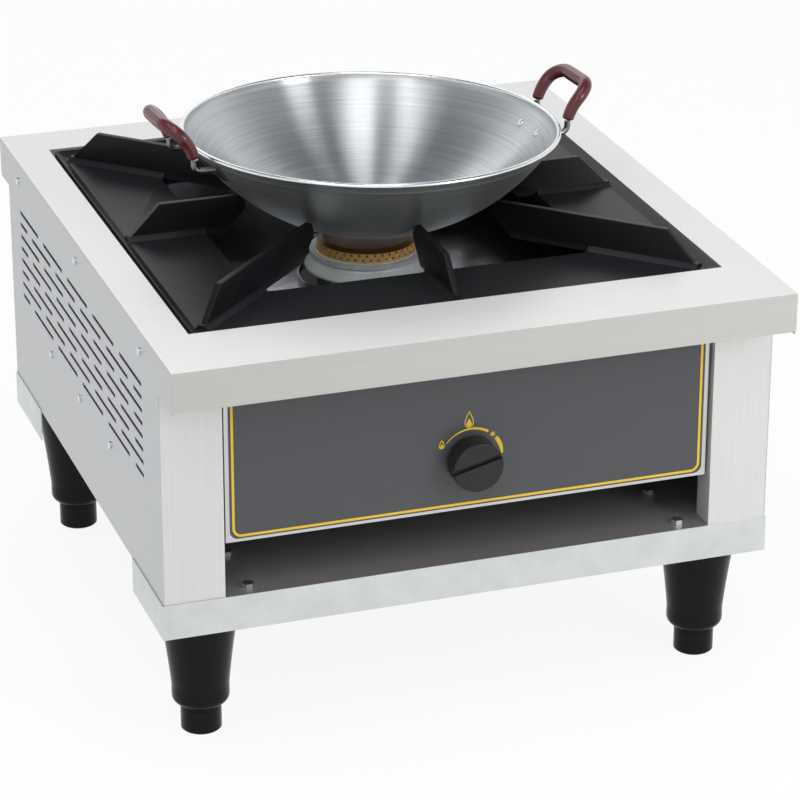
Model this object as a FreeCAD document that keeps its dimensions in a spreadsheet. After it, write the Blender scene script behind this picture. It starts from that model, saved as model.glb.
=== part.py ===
import FreeCAD, Part
import math
import operator
import os
import Sketcher

# A free-standing commercial wok range: a low stainless cabinet on four legs, with a cast iron
# pan support over one ring burner and a wok standing on its eight fins.
# Millimetres. +X is the right side, the front faces -Y, +Z is up, and the origin lies on the
# floor under the middle of the top plate.

os.makedirs("parts", exist_ok=True)
doc = FreeCAD.newDocument("wok_range")
sheet = doc.addObject("Spreadsheet::Sheet", "Sizes")

SUMS = {"+": operator.add, "-": operator.sub, "*": operator.mul, "/": operator.truediv}


class Size:
    """A number together with the spreadsheet formula that gives it."""

    def __init__(self, number, formula):
        self.number = float(number)
        self.formula = formula

    def __add__(self, other):
        return joined(self, "+", other)

    def __radd__(self, other):
        return joined(other, "+", self)

    def __sub__(self, other):
        return joined(self, "-", other)

    def __rsub__(self, other):
        return joined(other, "-", self)

    def __mul__(self, other):
        return joined(self, "*", other)

    def __rmul__(self, other):
        return joined(other, "*", self)

    def __truediv__(self, other):
        return joined(self, "/", other)

    def __neg__(self):
        return joined(0, "-", self)


def as_size(value):
    """A plain number becomes a size with itself as formula."""
    if isinstance(value, Size):
        return value
    return Size(value, f"({float(value)})")


def joined(first, sign, second):
    first, second = as_size(first), as_size(second)
    number = SUMS[sign](first.number, second.number)
    return Size(number, f"({first.formula} {sign} {second.formula})")


def root(value):
    return Size(math.sqrt(value.number), f"sqrt({value.formula})")


def lesser(first, second):
    number = min(first.number, second.number)
    return Size(number, f"min({first.formula}; {second.formula})")


def cell(name, number, note):
    """Writes one driving dimension into the sheet and returns it."""
    row = cell.row = cell.row + 1
    sheet.set(f"A{row}", note)
    sheet.set(f"B{row}", str(number))
    sheet.setAlias(f"B{row}", name)
    return Size(number, f"Sizes.{name}")


cell.row = 0

# Top plate and cabinet
top_width = cell("top_width", 600, "top plate, side to side")
top_depth = cell("top_depth", 670, "top plate, front to back")
top_height = cell("top_height", 408, "floor to the face of the top plate")
plate_gauge = cell("plate_gauge", 1.5, "sheet of the top plate")
sheet_gauge = cell("sheet_gauge", 1.2, "sheet of the cabinet")
skirt_drop = cell("skirt_drop", 38, "height of the front and rear skirts")
skirt_hem = cell("skirt_hem", 14, "hem turned in at the skirt's lower edge")
ear_drop = cell("ear_drop", 41, "height of the side panels' ears")
front_overhang = cell("front_overhang", 50, "top plate's front edge to the posts' face")
rear_overhang = cell("rear_overhang", 35, "top plate's rear edge to the rear panel's face")
side_border = cell("side_border", 39, "top plate's side edges to the opening")
front_border = cell("front_border", 85, "top plate's front edge to the opening")
rear_border = cell("rear_border", 55, "top plate's rear edge to the opening")
lip_drop = cell("lip_drop", 17, "top plate's face to the ledge that carries the pan support")
ledge_width = cell("ledge_width", 12, "ledge's reach inside the opening")
base_low = cell("base_low", 123, "floor to the base's lower edge")
base_tall = cell("base_tall", 35, "height of the base rails")
rail_return = cell("rail_return", 108, "length of the rails' returns along the sides")
rail_hem = cell("rail_hem", 7, "hem turned in at the rails' lower edge")
panel_lap = cell("panel_lap", 2, "side panels' lap inside the rails")
shelf_turn = cell("shelf_turn", 24, "shelf plate's turned-down edges")
post_width = cell("post_width", 59, "front posts' face, edge to edge")
post_depth = cell("post_depth", 28, "front posts' and rear panel's folds")
flange_gap = cell("flange_gap", 1, "top plate's side flanges to the folds beside them")

# Ventilation slots and side screws
slot_long = cell("slot_long", 80, "full slot's length")
slot_short = cell("slot_short", 30, "length of the slots at the ends of the even rows")
slot_tall = cell("slot_tall", 4, "slot's height")
slot_pitch = cell("slot_pitch", 100, "slot to slot along a row")
row_pitch = cell("row_pitch", 13, "row to row")
slot_drop = cell("slot_drop", 53.5, "top plate's face to the first row")
slot_shift = cell("slot_shift", 5, "slot field's centre behind the cabinet's middle")
screw_shank = cell("screw_shank", 2, "side screws' shank radius")
screw_head = cell("screw_head", 3.8, "side screws' head radius")
screw_head_tall = cell("screw_head_tall", 2, "side screws' head height")
screw_long = cell("screw_long", 9, "side screws' shank length")
screw_play = cell("screw_play", 0.2, "screw and bolt holes' radial clearance")
high_screw_drop = cell("high_screw_drop", 21, "top plate's face to the upper screws")
high_screw_end = cell("high_screw_end", 52.5, "outer upper screws short of the cabinet's ends")
low_screw_drop = cell("low_screw_drop", 165, "top plate's face to the lower screws")
low_screw_pitch = cell("low_screw_pitch", 118, "lower screws' spacing")
screw_shift = cell("screw_shift", 6.5, "side screws' middle behind the cabinet's middle")

# Control panel, knob and gas tap
panel_recess = cell("panel_recess", 6, "posts' face to the control panel's face")
panel_gap = cell("panel_gap", 3, "control panel's edges to the posts")
bay_tall = cell("bay_tall", 51.5, "gap between the shelf and the control panel")
panel_fold = cell("panel_fold", 15, "control panel's folded edges")
film_gauge = cell("film_gauge", 0.4, "printed film")
film_side = cell("film_side", 4, "bare metal beside the film")
film_under = cell("film_under", 3, "bare metal under the film")
film_corner = cell("film_corner", 8, "film's lower corner radius")
film_hidden = cell("film_hidden", 8, "film's reach up behind the skirt")
knob_drop = cell("knob_drop", 148, "top plate's face to the knob's axis")
knob_radius = cell("knob_radius", 24.5, "knob's radius")
knob_reach = cell("knob_reach", 23, "control panel's face to the knob's face")
knob_gap = cell("knob_gap", 3.6, "film to the back of the knob")
knob_round = cell("knob_round", 1.6, "rounding of the knob's front edge")
groove_wide = cell("groove_wide", 5, "grip groove's width")
groove_deep = cell("groove_deep", 4, "grip groove's depth")
groove_up = cell("groove_up", 3.8, "grip groove's middle above the knob's axis")
groove_turn = cell("groove_turn", 14.5, "grip groove's angle to level, degrees")
stem_radius = cell("stem_radius", 4, "tap stem's radius")
stem_sink = cell("stem_sink", 14, "stem's length inside the knob")
stem_play = cell("stem_play", 0.05, "running fits' radial clearance in the tap")
stem_hole = cell("stem_hole", 5.5, "stem's hole in the panel, radius")
tap_radius = cell("tap_radius", 14, "gas tap body's radius")
tap_flange = cell("tap_flange", 19, "gas tap's front flange radius")
tap_flange_thick = cell("tap_flange_thick", 4, "gas tap's front flange thickness")
tap_long = cell("tap_long", 52, "gas tap body's length behind the panel")
plug_radius = cell("plug_radius", 8, "tap plug's radius")
plug_start = cell("plug_start", 12, "panel's back to the tap plug")
plug_long = cell("plug_long", 24, "tap plug's length")
plug_room = cell("plug_room", 6, "free length behind the plug for the pushed stem")
inlet_boss = cell("inlet_boss", 11, "tap's inlet boss radius")
inlet_reach = cell("inlet_reach", 28, "tap's inlet boss length from the axis")
outlet_boss = cell("outlet_boss", 7, "tap's outlet boss radius")
outlet_reach = cell("outlet_reach", 24, "tap's outlet boss height from the axis")
boss_back = cell("boss_back", 30, "panel's back to the axes of the tap's bosses")
magnet_radius = cell("magnet_radius", 9, "flame safety magnet unit's radius")
magnet_long = cell("magnet_long", 22, "flame safety magnet unit's length")

# Gas pipes
feed_radius = cell("feed_radius", 7.5, "feed pipe's radius")
feed_side = cell("feed_side", 150, "feed pipe's run to the right of the middle")
feed_bend = cell("feed_bend", 30, "feed pipe's bend radius")
supply_radius = cell("supply_radius", 4, "supply pipe's radius")
supply_bend = cell("supply_bend", 10, "supply pipe's bend radius")
inlet_thread = cell("inlet_thread", 10.48, "gas inlet's thread radius, half inch")
inlet_stands = cell("inlet_stands", 26, "gas inlet outside the rear panel")
inlet_relief = cell("inlet_relief", 0.2, "gas inlet's neck inside its nut, below the thread")
inlet_nut = cell("inlet_nut", 15, "gas inlet's nut, radius to the corners")
inlet_nut_thick = cell("inlet_nut_thick", 6, "gas inlet's nut thickness")
inlet_wall = cell("inlet_wall", 3, "gas inlet's wall")
inlet_socket = cell("inlet_socket", 15, "gas inlet's socket inside the cabinet")
clip_wall = cell("clip_wall", 1.5, "pipe clips' wall")
clip_wide = cell("clip_wide", 12, "pipe clips' width along the pipe")
clip_foot = cell("clip_foot", 17, "pipe clips' feet, reach from the pipe's axis")
clip_pitch = cell("clip_pitch", 170, "pipe clips' spacing")

# Burner
burner_side = cell("burner_side", -2.5, "burner's axis beside the middle")
burner_back = cell("burner_back", 20, "burner's axis behind the top plate's centre")
burner_drop = cell("burner_drop", 44, "top plate's face to the burner casting's flange")
flange_radius = cell("flange_radius", 57, "burner casting's flange radius")
flange_thick = cell("flange_thick", 4, "burner casting's flange thickness")
bowl_deep = cell("bowl_deep", 52, "burner casting's bowl, flange to neck")
neck_radius = cell("neck_radius", 21, "burner casting's neck radius")
casting_wall = cell("casting_wall", 4, "burner casting's wall")
ring_radius = cell("ring_radius", 49.5, "brass ring's radius")
ring_tall = cell("ring_tall", 13, "brass ring's height")
ring_bevel = cell("ring_bevel", 3, "height of the brass ring's bevel")
ring_top = cell("ring_top", 44, "radius of the brass ring's upper edge")
ring_wall = cell("ring_wall", 4, "brass ring's wall")
ring_sunk = cell("ring_sunk", 2.5, "brass ring's top, sunk inside its edge")
ring_spigot = cell("ring_spigot", 5, "brass ring's spigot in the casting")
spigot_play = cell("spigot_play", 0.3, "spigot's radial clearance in the casting")
port_radius = cell("port_radius", 1.25, "flame ports' radius")
port_count = cell("port_count", 40, "flame ports in each row")
port_high = cell("port_high", 5.1, "ring's upper edge to the upper row of ports")
port_low = cell("port_low", 9.7, "ring's upper edge to the lower row of ports")
venturi_drop = cell("venturi_drop", 112, "top plate's face to the venturi's axis")
venturi_outer = cell("venturi_outer", 15, "venturi's outer radius at the casting")
venturi_throat = cell("venturi_throat", 8.5, "venturi's throat radius")
venturi_mouth = cell("venturi_mouth", 19, "venturi's mouth radius")
venturi_long = cell("venturi_long", 92, "venturi's length outside the casting")
venturi_plug = cell("venturi_plug", 12, "venturi's length inside the casting")
venturi_wall = cell("venturi_wall", 2.5, "venturi's wall")
stub_reach = cell("stub_reach", 52, "casting's stub for the venturi, from the axis")
injector_gap = cell("injector_gap", 4, "venturi's mouth to the injector's tip")
injector_radius = cell("injector_radius", 5, "injector's radius")
injector_long = cell("injector_long", 12, "injector's length outside its holder")
holder_radius = cell("holder_radius", 8, "injector holder's radius")
holder_long = cell("holder_long", 18, "injector holder's length")
holder_sheet = cell("holder_sheet", 2, "injector bracket's sheet")
holder_side = cell("holder_side", 15, "injector bracket's half width")
holder_foot = cell("holder_foot", 14, "injector bracket's foot")
bridge_gap = cell("bridge_gap", 1, "burner shelf to the feed pipe")
bridge_depth = cell("bridge_depth", 320, "burner shelf, front to back")
bridge_turn = cell("bridge_turn", 20, "burner shelf's turned-down ends")
bolt_radius = cell("bolt_radius", 3, "bolts' shank radius")
bolt_head = cell("bolt_head", 5.8, "bolts' head radius to the corners")
bolt_head_tall = cell("bolt_head_tall", 4, "bolts' head height")
burner_bolt_long = cell("burner_bolt_long", 16, "burner bolt's shank length")
probe_turn = cell("probe_turn", 13, "thermocouple and electrode beside the burner's middle")
probe_circle = cell("probe_circle", 62, "thermocouple and electrode from the burner's axis")
probe_radius = cell("probe_radius", 2.2, "thermocouple's radius")
probe_foot = cell("probe_foot", 300, "lower ends of the thermocouple and electrode")
electrode_radius = cell("electrode_radius", 3, "electrode's ceramic radius")
spark_radius = cell("spark_radius", 0.9, "electrode's wire radius")
spark_long = cell("spark_long", 12, "electrode's bare wire")
stand_high = cell("stand_high", 318, "flame bracket's upper face")
stand_side = cell("stand_side", 22, "flame bracket's half width")
stand_back = cell("stand_back", 94, "flame bracket's web behind the burner's axis")
stand_reach = cell("stand_reach", 40, "flame bracket's upper fold")

# Spill tray
tray_gauge = cell("tray_gauge", 1, "spill tray's sheet")
tray_drop = cell("tray_drop", 78, "top plate's face to the spill tray's underside")
tray_inset = cell("tray_inset", 6, "spill tray's walls inside the opening")
tray_hole = cell("tray_hole", 68, "radius of the spill tray's hole round the burner")
tray_collar = cell("tray_collar", 8, "height of the collar round that hole")

# Pan support
support_gap = cell("support_gap", 3, "pan support to the opening's edge")
support_side = cell("support_side", 1.5, "pan support's centre beside the opening's centre")
support_front = cell("support_front", 1, "pan support's centre in front of the opening's centre")
support_sunk = cell("support_sunk", 6, "top plate's face to the pan support's plate")
support_lip = cell("support_lip", 5, "height of the pan support's lip")
lip_run = cell("lip_run", 9, "width of the pan support's lip")
lip_crest = cell("lip_crest", 1, "flat crest of the lip")
window_rim = cell("window_rim", 86, "pan support's edge to its window")
window_round = cell("window_round", 20, "window's corner radius")
support_round = cell("support_round", 5, "pan support's outer corner radius")
fin_thick = cell("fin_thick", 6, "fins' thickness")
fin_tall = cell("fin_tall", 28, "fins' height above the top plate's face")
fin_under = cell("fin_under", 7, "top plate's face to the fins' lower edge")
seat_radius = cell("seat_radius", 136, "inner end of the fins' upper edge, from the centre")
nose_radius = cell("nose_radius", 131, "fins' nose, from the centre")
nose_drop = cell("nose_drop", 8, "fins' upper edge to the nose")
nose_tall = cell("nose_tall", 6, "upright length of the nose")
heel_radius = cell("heel_radius", 152, "inner end of the fins' lower edge, from the centre")
fin_end = cell("fin_end", 33, "length of the fins' sloping outer ends")
side_fin_short = cell("side_fin_short", 8, "side fins' feet short of the plate's edge")
corner_fin_short = cell("corner_fin_short", 19, "corner fins' feet short of the plate's corner")
fin_root = cell("fin_root", 4.5, "size of the slope where a fin rises from the plate")

# Wok
wok_radius = cell("wok_radius", 215, "radius of the wok's outer sphere")
wok_gauge = cell("wok_gauge", 1.5, "wok's sheet")
wok_rise = cell("wok_rise", 112, "sphere's centre above the rim")
wok_tilt_side = cell("wok_tilt_side", 1.27, "wok's tilt on the fins, right side down, degrees")
wok_tilt_back = cell("wok_tilt_back", 1.15, "wok's tilt on the fins, rear down, degrees")
bead_radius = cell("bead_radius", 2.35, "radius of the rim's bead")
seat_gap = cell("seat_gap", 0.3, "wok to the fins")
grip_half = cell("grip_half", 37, "handle's middle to its legs")
grip_rise = cell("grip_rise", 41.5, "handle's length along its lean")
grip_bend = cell("grip_bend", 19, "handle's corner radius")
grip_radius = cell("grip_radius", 5.7, "grip's radius at its ends")
grip_middle = cell("grip_middle", 7, "grip's radius at its middle")
grip_lean = cell("grip_lean", 13.5, "handle's outward lean at its ends, degrees")
grip_curve = cell("grip_curve", 50, "radius of the handle's outward curve")
grip_out = cell("grip_out", 194, "handle's legs from the wok's axis")
grip_low = cell("grip_low", 1.5, "rim to the lower ends of the grips")
grip_turn = cell("grip_turn", 2.8, "handles' turn about the wok's axis, degrees")
strap_thick = cell("strap_thick", 2, "handle strap's thickness")
strap_gap = cell("strap_gap", 0.1, "handle strap to the bowl")
strap_high = cell("strap_high", 9, "rim to the strap's upper edge")
strap_low = cell("strap_low", 26, "rim to the strap's lower edge")
strap_angle = cell("strap_angle", 28, "strap's length round the bowl, degrees")
arm_radius = cell("arm_radius", 3, "radius of the strap's arms")
arm_low = cell("arm_low", 13.5, "rim to the level runs of the arms")
arm_bend = cell("arm_bend", 7, "arms' bend radius")
arm_gap = cell("arm_gap", 0.8, "arms' ends to the grip")
rivet_drop = cell("rivet_drop", 18, "rim to the rivets")
rivet_half = cell("rivet_half", 19, "handle's middle to the rivets")
rivet_shank = cell("rivet_shank", 2, "rivets' shank radius")
rivet_head = cell("rivet_head", 4, "rivets' head radius")
rivet_dome = cell("rivet_dome", 1.6, "rivets' head height")

# Legs and feet
leg_side_inset = cell("leg_side_inset", 47, "legs' axes inside the cabinet's sides")
leg_front_inset = cell("leg_front_inset", 51, "front legs' axes behind the cabinet's front")
leg_rear_inset = cell("leg_rear_inset", 56, "rear legs' axes before the cabinet's rear")
leg_flange = cell("leg_flange", 5, "leg flange's thickness")
leg_margin = cell("leg_margin", 7, "leg bolts to the flange's edge")
leg_bolt_side = cell("leg_bolt_side", 76, "leg bolts' spacing, side to side")
leg_bolt_back = cell("leg_bolt_back", 72, "leg bolts' spacing, front to back")
leg_top = cell("leg_top", 42.5, "leg's radius under its flange")
leg_waist = cell("leg_waist", 27.5, "leg's radius at its narrow stretch")
leg_waist_high = cell("leg_waist_high", 48, "floor to the narrow stretch's upper end")
leg_curve = cell("leg_curve", 1100, "radius of the leg's hollow curve")
leg_shoulder = cell("leg_shoulder", 36, "floor to the leg's shoulder")
leg_end = cell("leg_end", 24, "floor to the leg's lower end")
foot_radius = cell("foot_radius", 19.5, "foot's radius")
foot_edge = cell("foot_edge", 1.2, "foot's bevelled edge")
foot_gap = cell("foot_gap", 0.3, "foot to the leg's lower end")
stud_radius = cell("stud_radius", 8, "foot stud's radius")
stud_long = cell("stud_long", 62, "foot stud's length above the foot")
stud_play = cell("stud_play", 0.08, "stud's radial clearance in the leg")
stud_room = cell("stud_room", 8, "leg's bore above the stud")

doc.recompute()

# Places worked out from the driving dimensions
half_width = top_width / 2
half_depth = top_depth / 2
plate_under = top_height - plate_gauge
cabinet_front = front_overhang - half_depth
cabinet_rear = half_depth - rear_overhang
shelf_top = base_low + base_tall
inner_half = half_width - sheet_gauge
post_inner = half_width - post_width
panel_half = post_inner - panel_gap
panel_face = cabinet_front + panel_recess
panel_back = panel_face + sheet_gauge
panel_low = shelf_top + bay_tall
knob_height = top_height - knob_drop
ledge_top = top_height - lip_drop
ledge_under = ledge_top - sheet_gauge
opening_half = half_width - side_border
opening_front = front_border - half_depth
opening_rear = half_depth - rear_border
cabinet_middle = (cabinet_front + cabinet_rear) / 2
slot_middle = cabinet_middle + slot_shift
screw_middle = cabinet_middle + screw_shift
high_screw_pitch = (cabinet_rear - cabinet_front) / 2 - high_screw_end
leg_side = half_width - leg_side_inset
leg_front = cabinet_front + leg_front_inset
leg_rear = cabinet_rear - leg_rear_inset
bridge_top = knob_height - feed_radius - bridge_gap
bridge_front = screw_middle - bridge_depth / 2
bridge_rear = screw_middle + bridge_depth / 2
casting_top = top_height - burner_drop
venturi_height = top_height - venturi_drop
venturi_start = burner_back - stub_reach
venturi_end = venturi_start - venturi_long
injector_tip = venturi_end - injector_gap
holder_front = injector_tip - injector_long
holder_rear = holder_front - holder_long
boss_place = panel_back + boss_back
outlet_top = knob_height + outlet_reach
support_half_x = opening_half - support_gap
support_half_y = (opening_rear - opening_front) / 2 - support_gap
support_least = lesser(support_half_x, support_half_y)
support_middle = (opening_front + opening_rear) / 2 - support_front
window_half = support_least - window_rim
wok_centre = top_height + fin_tall + root((wok_radius + seat_gap) * (wok_radius + seat_gap)
                                           - seat_radius * seat_radius)

SIDES = {"left": -1, "right": 1}
LEGS = {
    "front_left": (-leg_side, leg_front),
    "front_right": (leg_side, leg_front),
    "rear_left": (-leg_side, leg_rear),
    "rear_right": (leg_side, leg_rear),
}


def bind(thing, path, value):
    """Ties one property of an object to the sheet."""
    thing.setExpression(path, as_size(value).formula)


def new_body(label):
    body = doc.addObject("PartDesign::Body", label)
    body.Label = label
    body.AllowCompound = True
    return body


def place(body, across, back, up, rotation=None):
    """Moves a finished body from its own frame into the range."""
    if rotation:
        body.Placement = FreeCAD.Placement(FreeCAD.Vector(), rotation)
    bind(body, "Placement.Base.x", across)
    bind(body, "Placement.Base.y", back)
    bind(body, "Placement.Base.z", up)


def origin_part(body, role):
    return next(part for part in body.Origin.OriginFeatures if part.Role == role)


def new_sketch(body, plane, offset=0, rotation=None):
    """A sketch on one of the body's own planes, turned in its frame, then moved along its normal."""
    sketch = body.newObject("Sketcher::SketchObject", f"{body.Name}_sketch")
    sketch.AttachmentSupport = [(origin_part(body, plane), "")]
    sketch.MapMode = "FlatFace"
    if rotation:
        way = rotation.multVec(FreeCAD.Vector(0, 0, as_size(offset).number))
        sketch.AttachmentOffset = FreeCAD.Placement(way, rotation)
    else:
        bind(sketch, "AttachmentOffset.Base.z", offset)
    return sketch


RULES = {}


def rule(sketch, constraint, value=None):
    """Notes a constraint of the sketch, and the size that drives it."""
    RULES.setdefault(sketch.Name, []).append((constraint, value))


def fix(sketch, kind, line, point, value):
    """Holds one coordinate of a point of the sketch."""
    number = as_size(value).number
    rule(sketch, Sketcher.Constraint(kind, line, point, number), value)


def settle(sketch):
    """Adds all the noted constraints at once and ties them to the sheet."""
    rules = RULES.pop(sketch.Name)
    sketch.addConstraint([constraint for constraint, _ in rules])
    for index, (_, value) in enumerate(rules):
        if isinstance(value, Size):
            bind(sketch, f"Constraints[{index}]", value)


def draw_path(sketch, corners, closed=True):
    """Lines and arcs through the corners (x, y) or (x, y, radius).

    A radius makes the edge that leaves its corner an arc, with its centre on the left of the
    way to the next corner where it is positive and on the right where it is negative.
    """
    spots = [FreeCAD.Vector(as_size(c[0]).number, as_size(c[1]).number, 0) for c in corners]
    ends = []
    edge_count = len(corners) if closed else len(corners) - 1
    for i in range(edge_count):
        here, there = spots[i], spots[(i + 1) % len(spots)]
        if len(corners[i]) == 2:
            line = sketch.addGeometry(Part.LineSegment(here, there), False)
            ends.append((line, 1, 2))
            continue
        radius = as_size(corners[i][2])
        line, forward = draw_arc(sketch, here, there, radius.number)
        ends.append((line, 1, 2) if forward else (line, 2, 1))
        rule(sketch, Sketcher.Constraint("Radius", line, abs(radius.number)),
             radius if forward else -radius)
    for i in range(edge_count):
        line, start, end = ends[i]
        fix(sketch, "DistanceX", line, start, corners[i][0])
        fix(sketch, "DistanceY", line, start, corners[i][1])
        if closed or i + 1 < edge_count:
            after, after_start, _ = ends[(i + 1) % edge_count]
            rule(sketch, Sketcher.Constraint("Coincident", line, end, after, after_start))
        else:
            fix(sketch, "DistanceX", line, end, corners[-1][0])
            fix(sketch, "DistanceY", line, end, corners[-1][1])


def draw_arc(sketch, here, there, radius):
    """One arc between two points; says whether it runs the way of the path."""
    chord = there - here
    rise = math.sqrt(max(radius * radius - chord.Length ** 2 / 4, 0))
    left = FreeCAD.Vector(-chord.y, chord.x, 0).normalize()
    centre = (here + there) * 0.5 + left * math.copysign(rise, radius)
    forward = radius > 0
    first, last = (here, there) if forward else (there, here)
    start = math.atan2(first.y - centre.y, first.x - centre.x)
    end = math.atan2(last.y - centre.y, last.x - centre.x)
    circle = Part.Circle(centre, FreeCAD.Vector(0, 0, 1), abs(radius))
    return sketch.addGeometry(Part.ArcOfCircle(circle, start, end), False), forward


def draw_box(sketch, low_x, low_y, high_x, high_y):
    draw_path(sketch, [(low_x, low_y), (high_x, low_y), (high_x, high_y), (low_x, high_y)])


def draw_round_box(sketch, low_x, low_y, high_x, high_y, radius):
    draw_path(sketch, [
        (low_x + radius, low_y), (high_x - radius, low_y, radius),
        (high_x, low_y + radius), (high_x, high_y - radius, radius),
        (high_x - radius, high_y), (low_x + radius, high_y, radius),
        (low_x, high_y - radius), (low_x, low_y + radius, radius),
    ])


def draw_slot(sketch, middle_x, middle_y, length, height):
    """A slot with half-round ends, lying along the sketch's x."""
    end = (length - height) / 2
    radius = height / 2
    draw_path(sketch, [
        (middle_x - end, middle_y - radius),
        (middle_x + end, middle_y - radius, radius * 1.0001),
        (middle_x + end, middle_y + radius),
        (middle_x - end, middle_y + radius, radius * 1.0001),
    ])


def draw_circle(sketch, x, y, radius):
    spot = FreeCAD.Vector(as_size(x).number, as_size(y).number, 0)
    circle = Part.Circle(spot, FreeCAD.Vector(0, 0, 1), as_size(radius).number)
    line = sketch.addGeometry(circle, False)
    rule(sketch, Sketcher.Constraint("Radius", line, as_size(radius).number), radius)
    fix(sketch, "DistanceX", line, 3, x)
    fix(sketch, "DistanceY", line, 3, y)


def draw_hexagon(sketch, x, y, corner_radius):
    half = corner_radius / 2
    flat = corner_radius * root(as_size(3)) / 2
    draw_path(sketch, [
        (x + corner_radius, y), (x + half, y + flat), (x - half, y + flat),
        (x - corner_radius, y), (x - half, y - flat), (x + half, y - flat),
    ])


def pad(body, sketch, length, symmetric=False, reverse=False):
    settle(sketch)
    feature = body.newObject("PartDesign::Pad", f"{body.Name}_pad")
    feature.Profile = sketch
    feature.SideType = "Symmetric" if symmetric else "One side"
    feature.Reversed = reverse
    bind(feature, "Length", length)
    return finish_feature(body, sketch, feature)


def pocket(body, sketch, length=None, symmetric=False, reverse=False):
    """Cuts a sketch into the body, right through both ways where no length is given."""
    settle(sketch)
    feature = body.newObject("PartDesign::Pocket", f"{body.Name}_pocket")
    feature.Profile = sketch
    feature.Reversed = reverse
    if length is None:
        feature.Type = "ThroughAll"
        feature.SideType = "Symmetric"
    else:
        feature.SideType = "Symmetric" if symmetric else "One side"
        bind(feature, "Length", length)
    return finish_feature(body, sketch, feature)


def revolve(body, sketch, angle=360, symmetric=False):
    """Turns a sketch about its own upright axis."""
    settle(sketch)
    feature = body.newObject("PartDesign::Revolution", f"{body.Name}_turned")
    feature.Profile = sketch
    feature.ReferenceAxis = (sketch, ["V_Axis"])
    feature.Midplane = symmetric
    bind(feature, "Angle", angle)
    return finish_feature(body, sketch, feature)


def finish_feature(body, sketch, feature):
    sketch.Visibility = False
    body.Tip = feature
    return feature


def polar(body, originals, copies):
    """Copies features round the body's own upright axis."""
    feature = body.newObject("PartDesign::PolarPattern", f"{body.Name}_round")
    feature.Originals = originals
    feature.Axis = (origin_part(body, "Z_Axis"), [""])
    feature.Angle = 360
    bind(feature, "Occurrences", copies)
    body.Tip = feature


def grid(body, original, axes, spans, counts):
    """Copies a cut in rows along two of the body's own axes."""
    feature = body.newObject("PartDesign::LinearPattern", f"{body.Name}_rows")
    feature.Originals = [original]
    feature.Direction = (origin_part(body, axes[0]), [""])
    feature.Direction2 = (origin_part(body, axes[1]), [""])
    bind(feature, "Length", spans[0])
    bind(feature, "Length2", spans[1])
    feature.Occurrences = counts[0]
    feature.Occurrences2 = counts[1]
    body.Tip = feature


def bend_pipe(body, plane, offset, corners, start_plane, start_offset, start, radius):
    """A round bar swept along a path; the profile stands square on the path's first point."""
    spine = new_sketch(body, plane, offset)
    draw_path(spine, corners, closed=False)
    ring = new_sketch(body, start_plane, start_offset)
    draw_circle(ring, start[0], start[1], radius)
    settle(spine)
    settle(ring)
    feature = body.newObject("PartDesign::AdditivePipe", f"{body.Name}_swept")
    feature.Profile = ring
    feature.Spine = (spine, [])
    spine.Visibility = False
    return finish_feature(body, ring, feature)


# Cabinet -------------------------------------------------------------------------------------

def make_top_plate():
    """The plate with its opening, two skirts, the lip of the opening and two side flanges."""
    body = new_body("top_plate")
    plate = new_sketch(body, "XY_Plane", plate_under)
    draw_box(plate, -half_width, -half_depth, half_width, half_depth)
    draw_box(plate, -opening_half, opening_front, opening_half, opening_rear)
    pad(body, plate, plate_gauge)

    skirt = new_sketch(body, "YZ_Plane")
    low = top_height - skirt_drop
    draw_box(skirt, -half_depth, low, -half_depth + plate_gauge, plate_under)
    draw_box(skirt, half_depth - plate_gauge, low, half_depth, plate_under)
    pad(body, skirt, top_width, symmetric=True)

    hem = new_sketch(body, "YZ_Plane")
    draw_box(hem, -half_depth + plate_gauge, low, -half_depth + skirt_hem, low + plate_gauge)
    draw_box(hem, half_depth - skirt_hem, low, half_depth - plate_gauge, low + plate_gauge)
    pad(body, hem, 2 * inner_half, symmetric=True)

    lip = new_sketch(body, "XY_Plane", ledge_top)
    draw_box(lip, -opening_half - plate_gauge, opening_front - plate_gauge,
             opening_half + plate_gauge, opening_rear + plate_gauge)
    draw_box(lip, -opening_half, opening_front, opening_half, opening_rear)
    pad(body, lip, plate_under - ledge_top)

    front = cabinet_front + post_depth + flange_gap
    rear = cabinet_rear - post_depth - flange_gap
    flange = new_sketch(body, "XY_Plane", low)
    for side in SIDES.values():
        near, far = side * (inner_half - plate_gauge), side * inner_half
        draw_box(flange, near, front, far, rear) if side > 0 else draw_box(
            flange, far, front, near, rear)
    pad(body, flange, plate_under - low)

    holes = new_sketch(body, "YZ_Plane")
    for step in (-1, 0, 1):
        draw_circle(holes, screw_middle + step * high_screw_pitch,
                    top_height - high_screw_drop, screw_shank + screw_play)
    pocket(body, holes)


def make_ledge_frame():
    """Flat frame welded under the opening's lip, which the pan support rests on."""
    body = new_body("ledge_frame")
    ring = new_sketch(body, "XY_Plane", ledge_under)
    draw_box(ring, -opening_half - plate_gauge, opening_front - plate_gauge,
             opening_half + plate_gauge, opening_rear + plate_gauge)
    draw_box(ring, -opening_half + ledge_width, opening_front + ledge_width,
             opening_half - ledge_width, opening_rear - ledge_width)
    pad(body, ring, sheet_gauge)


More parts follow.
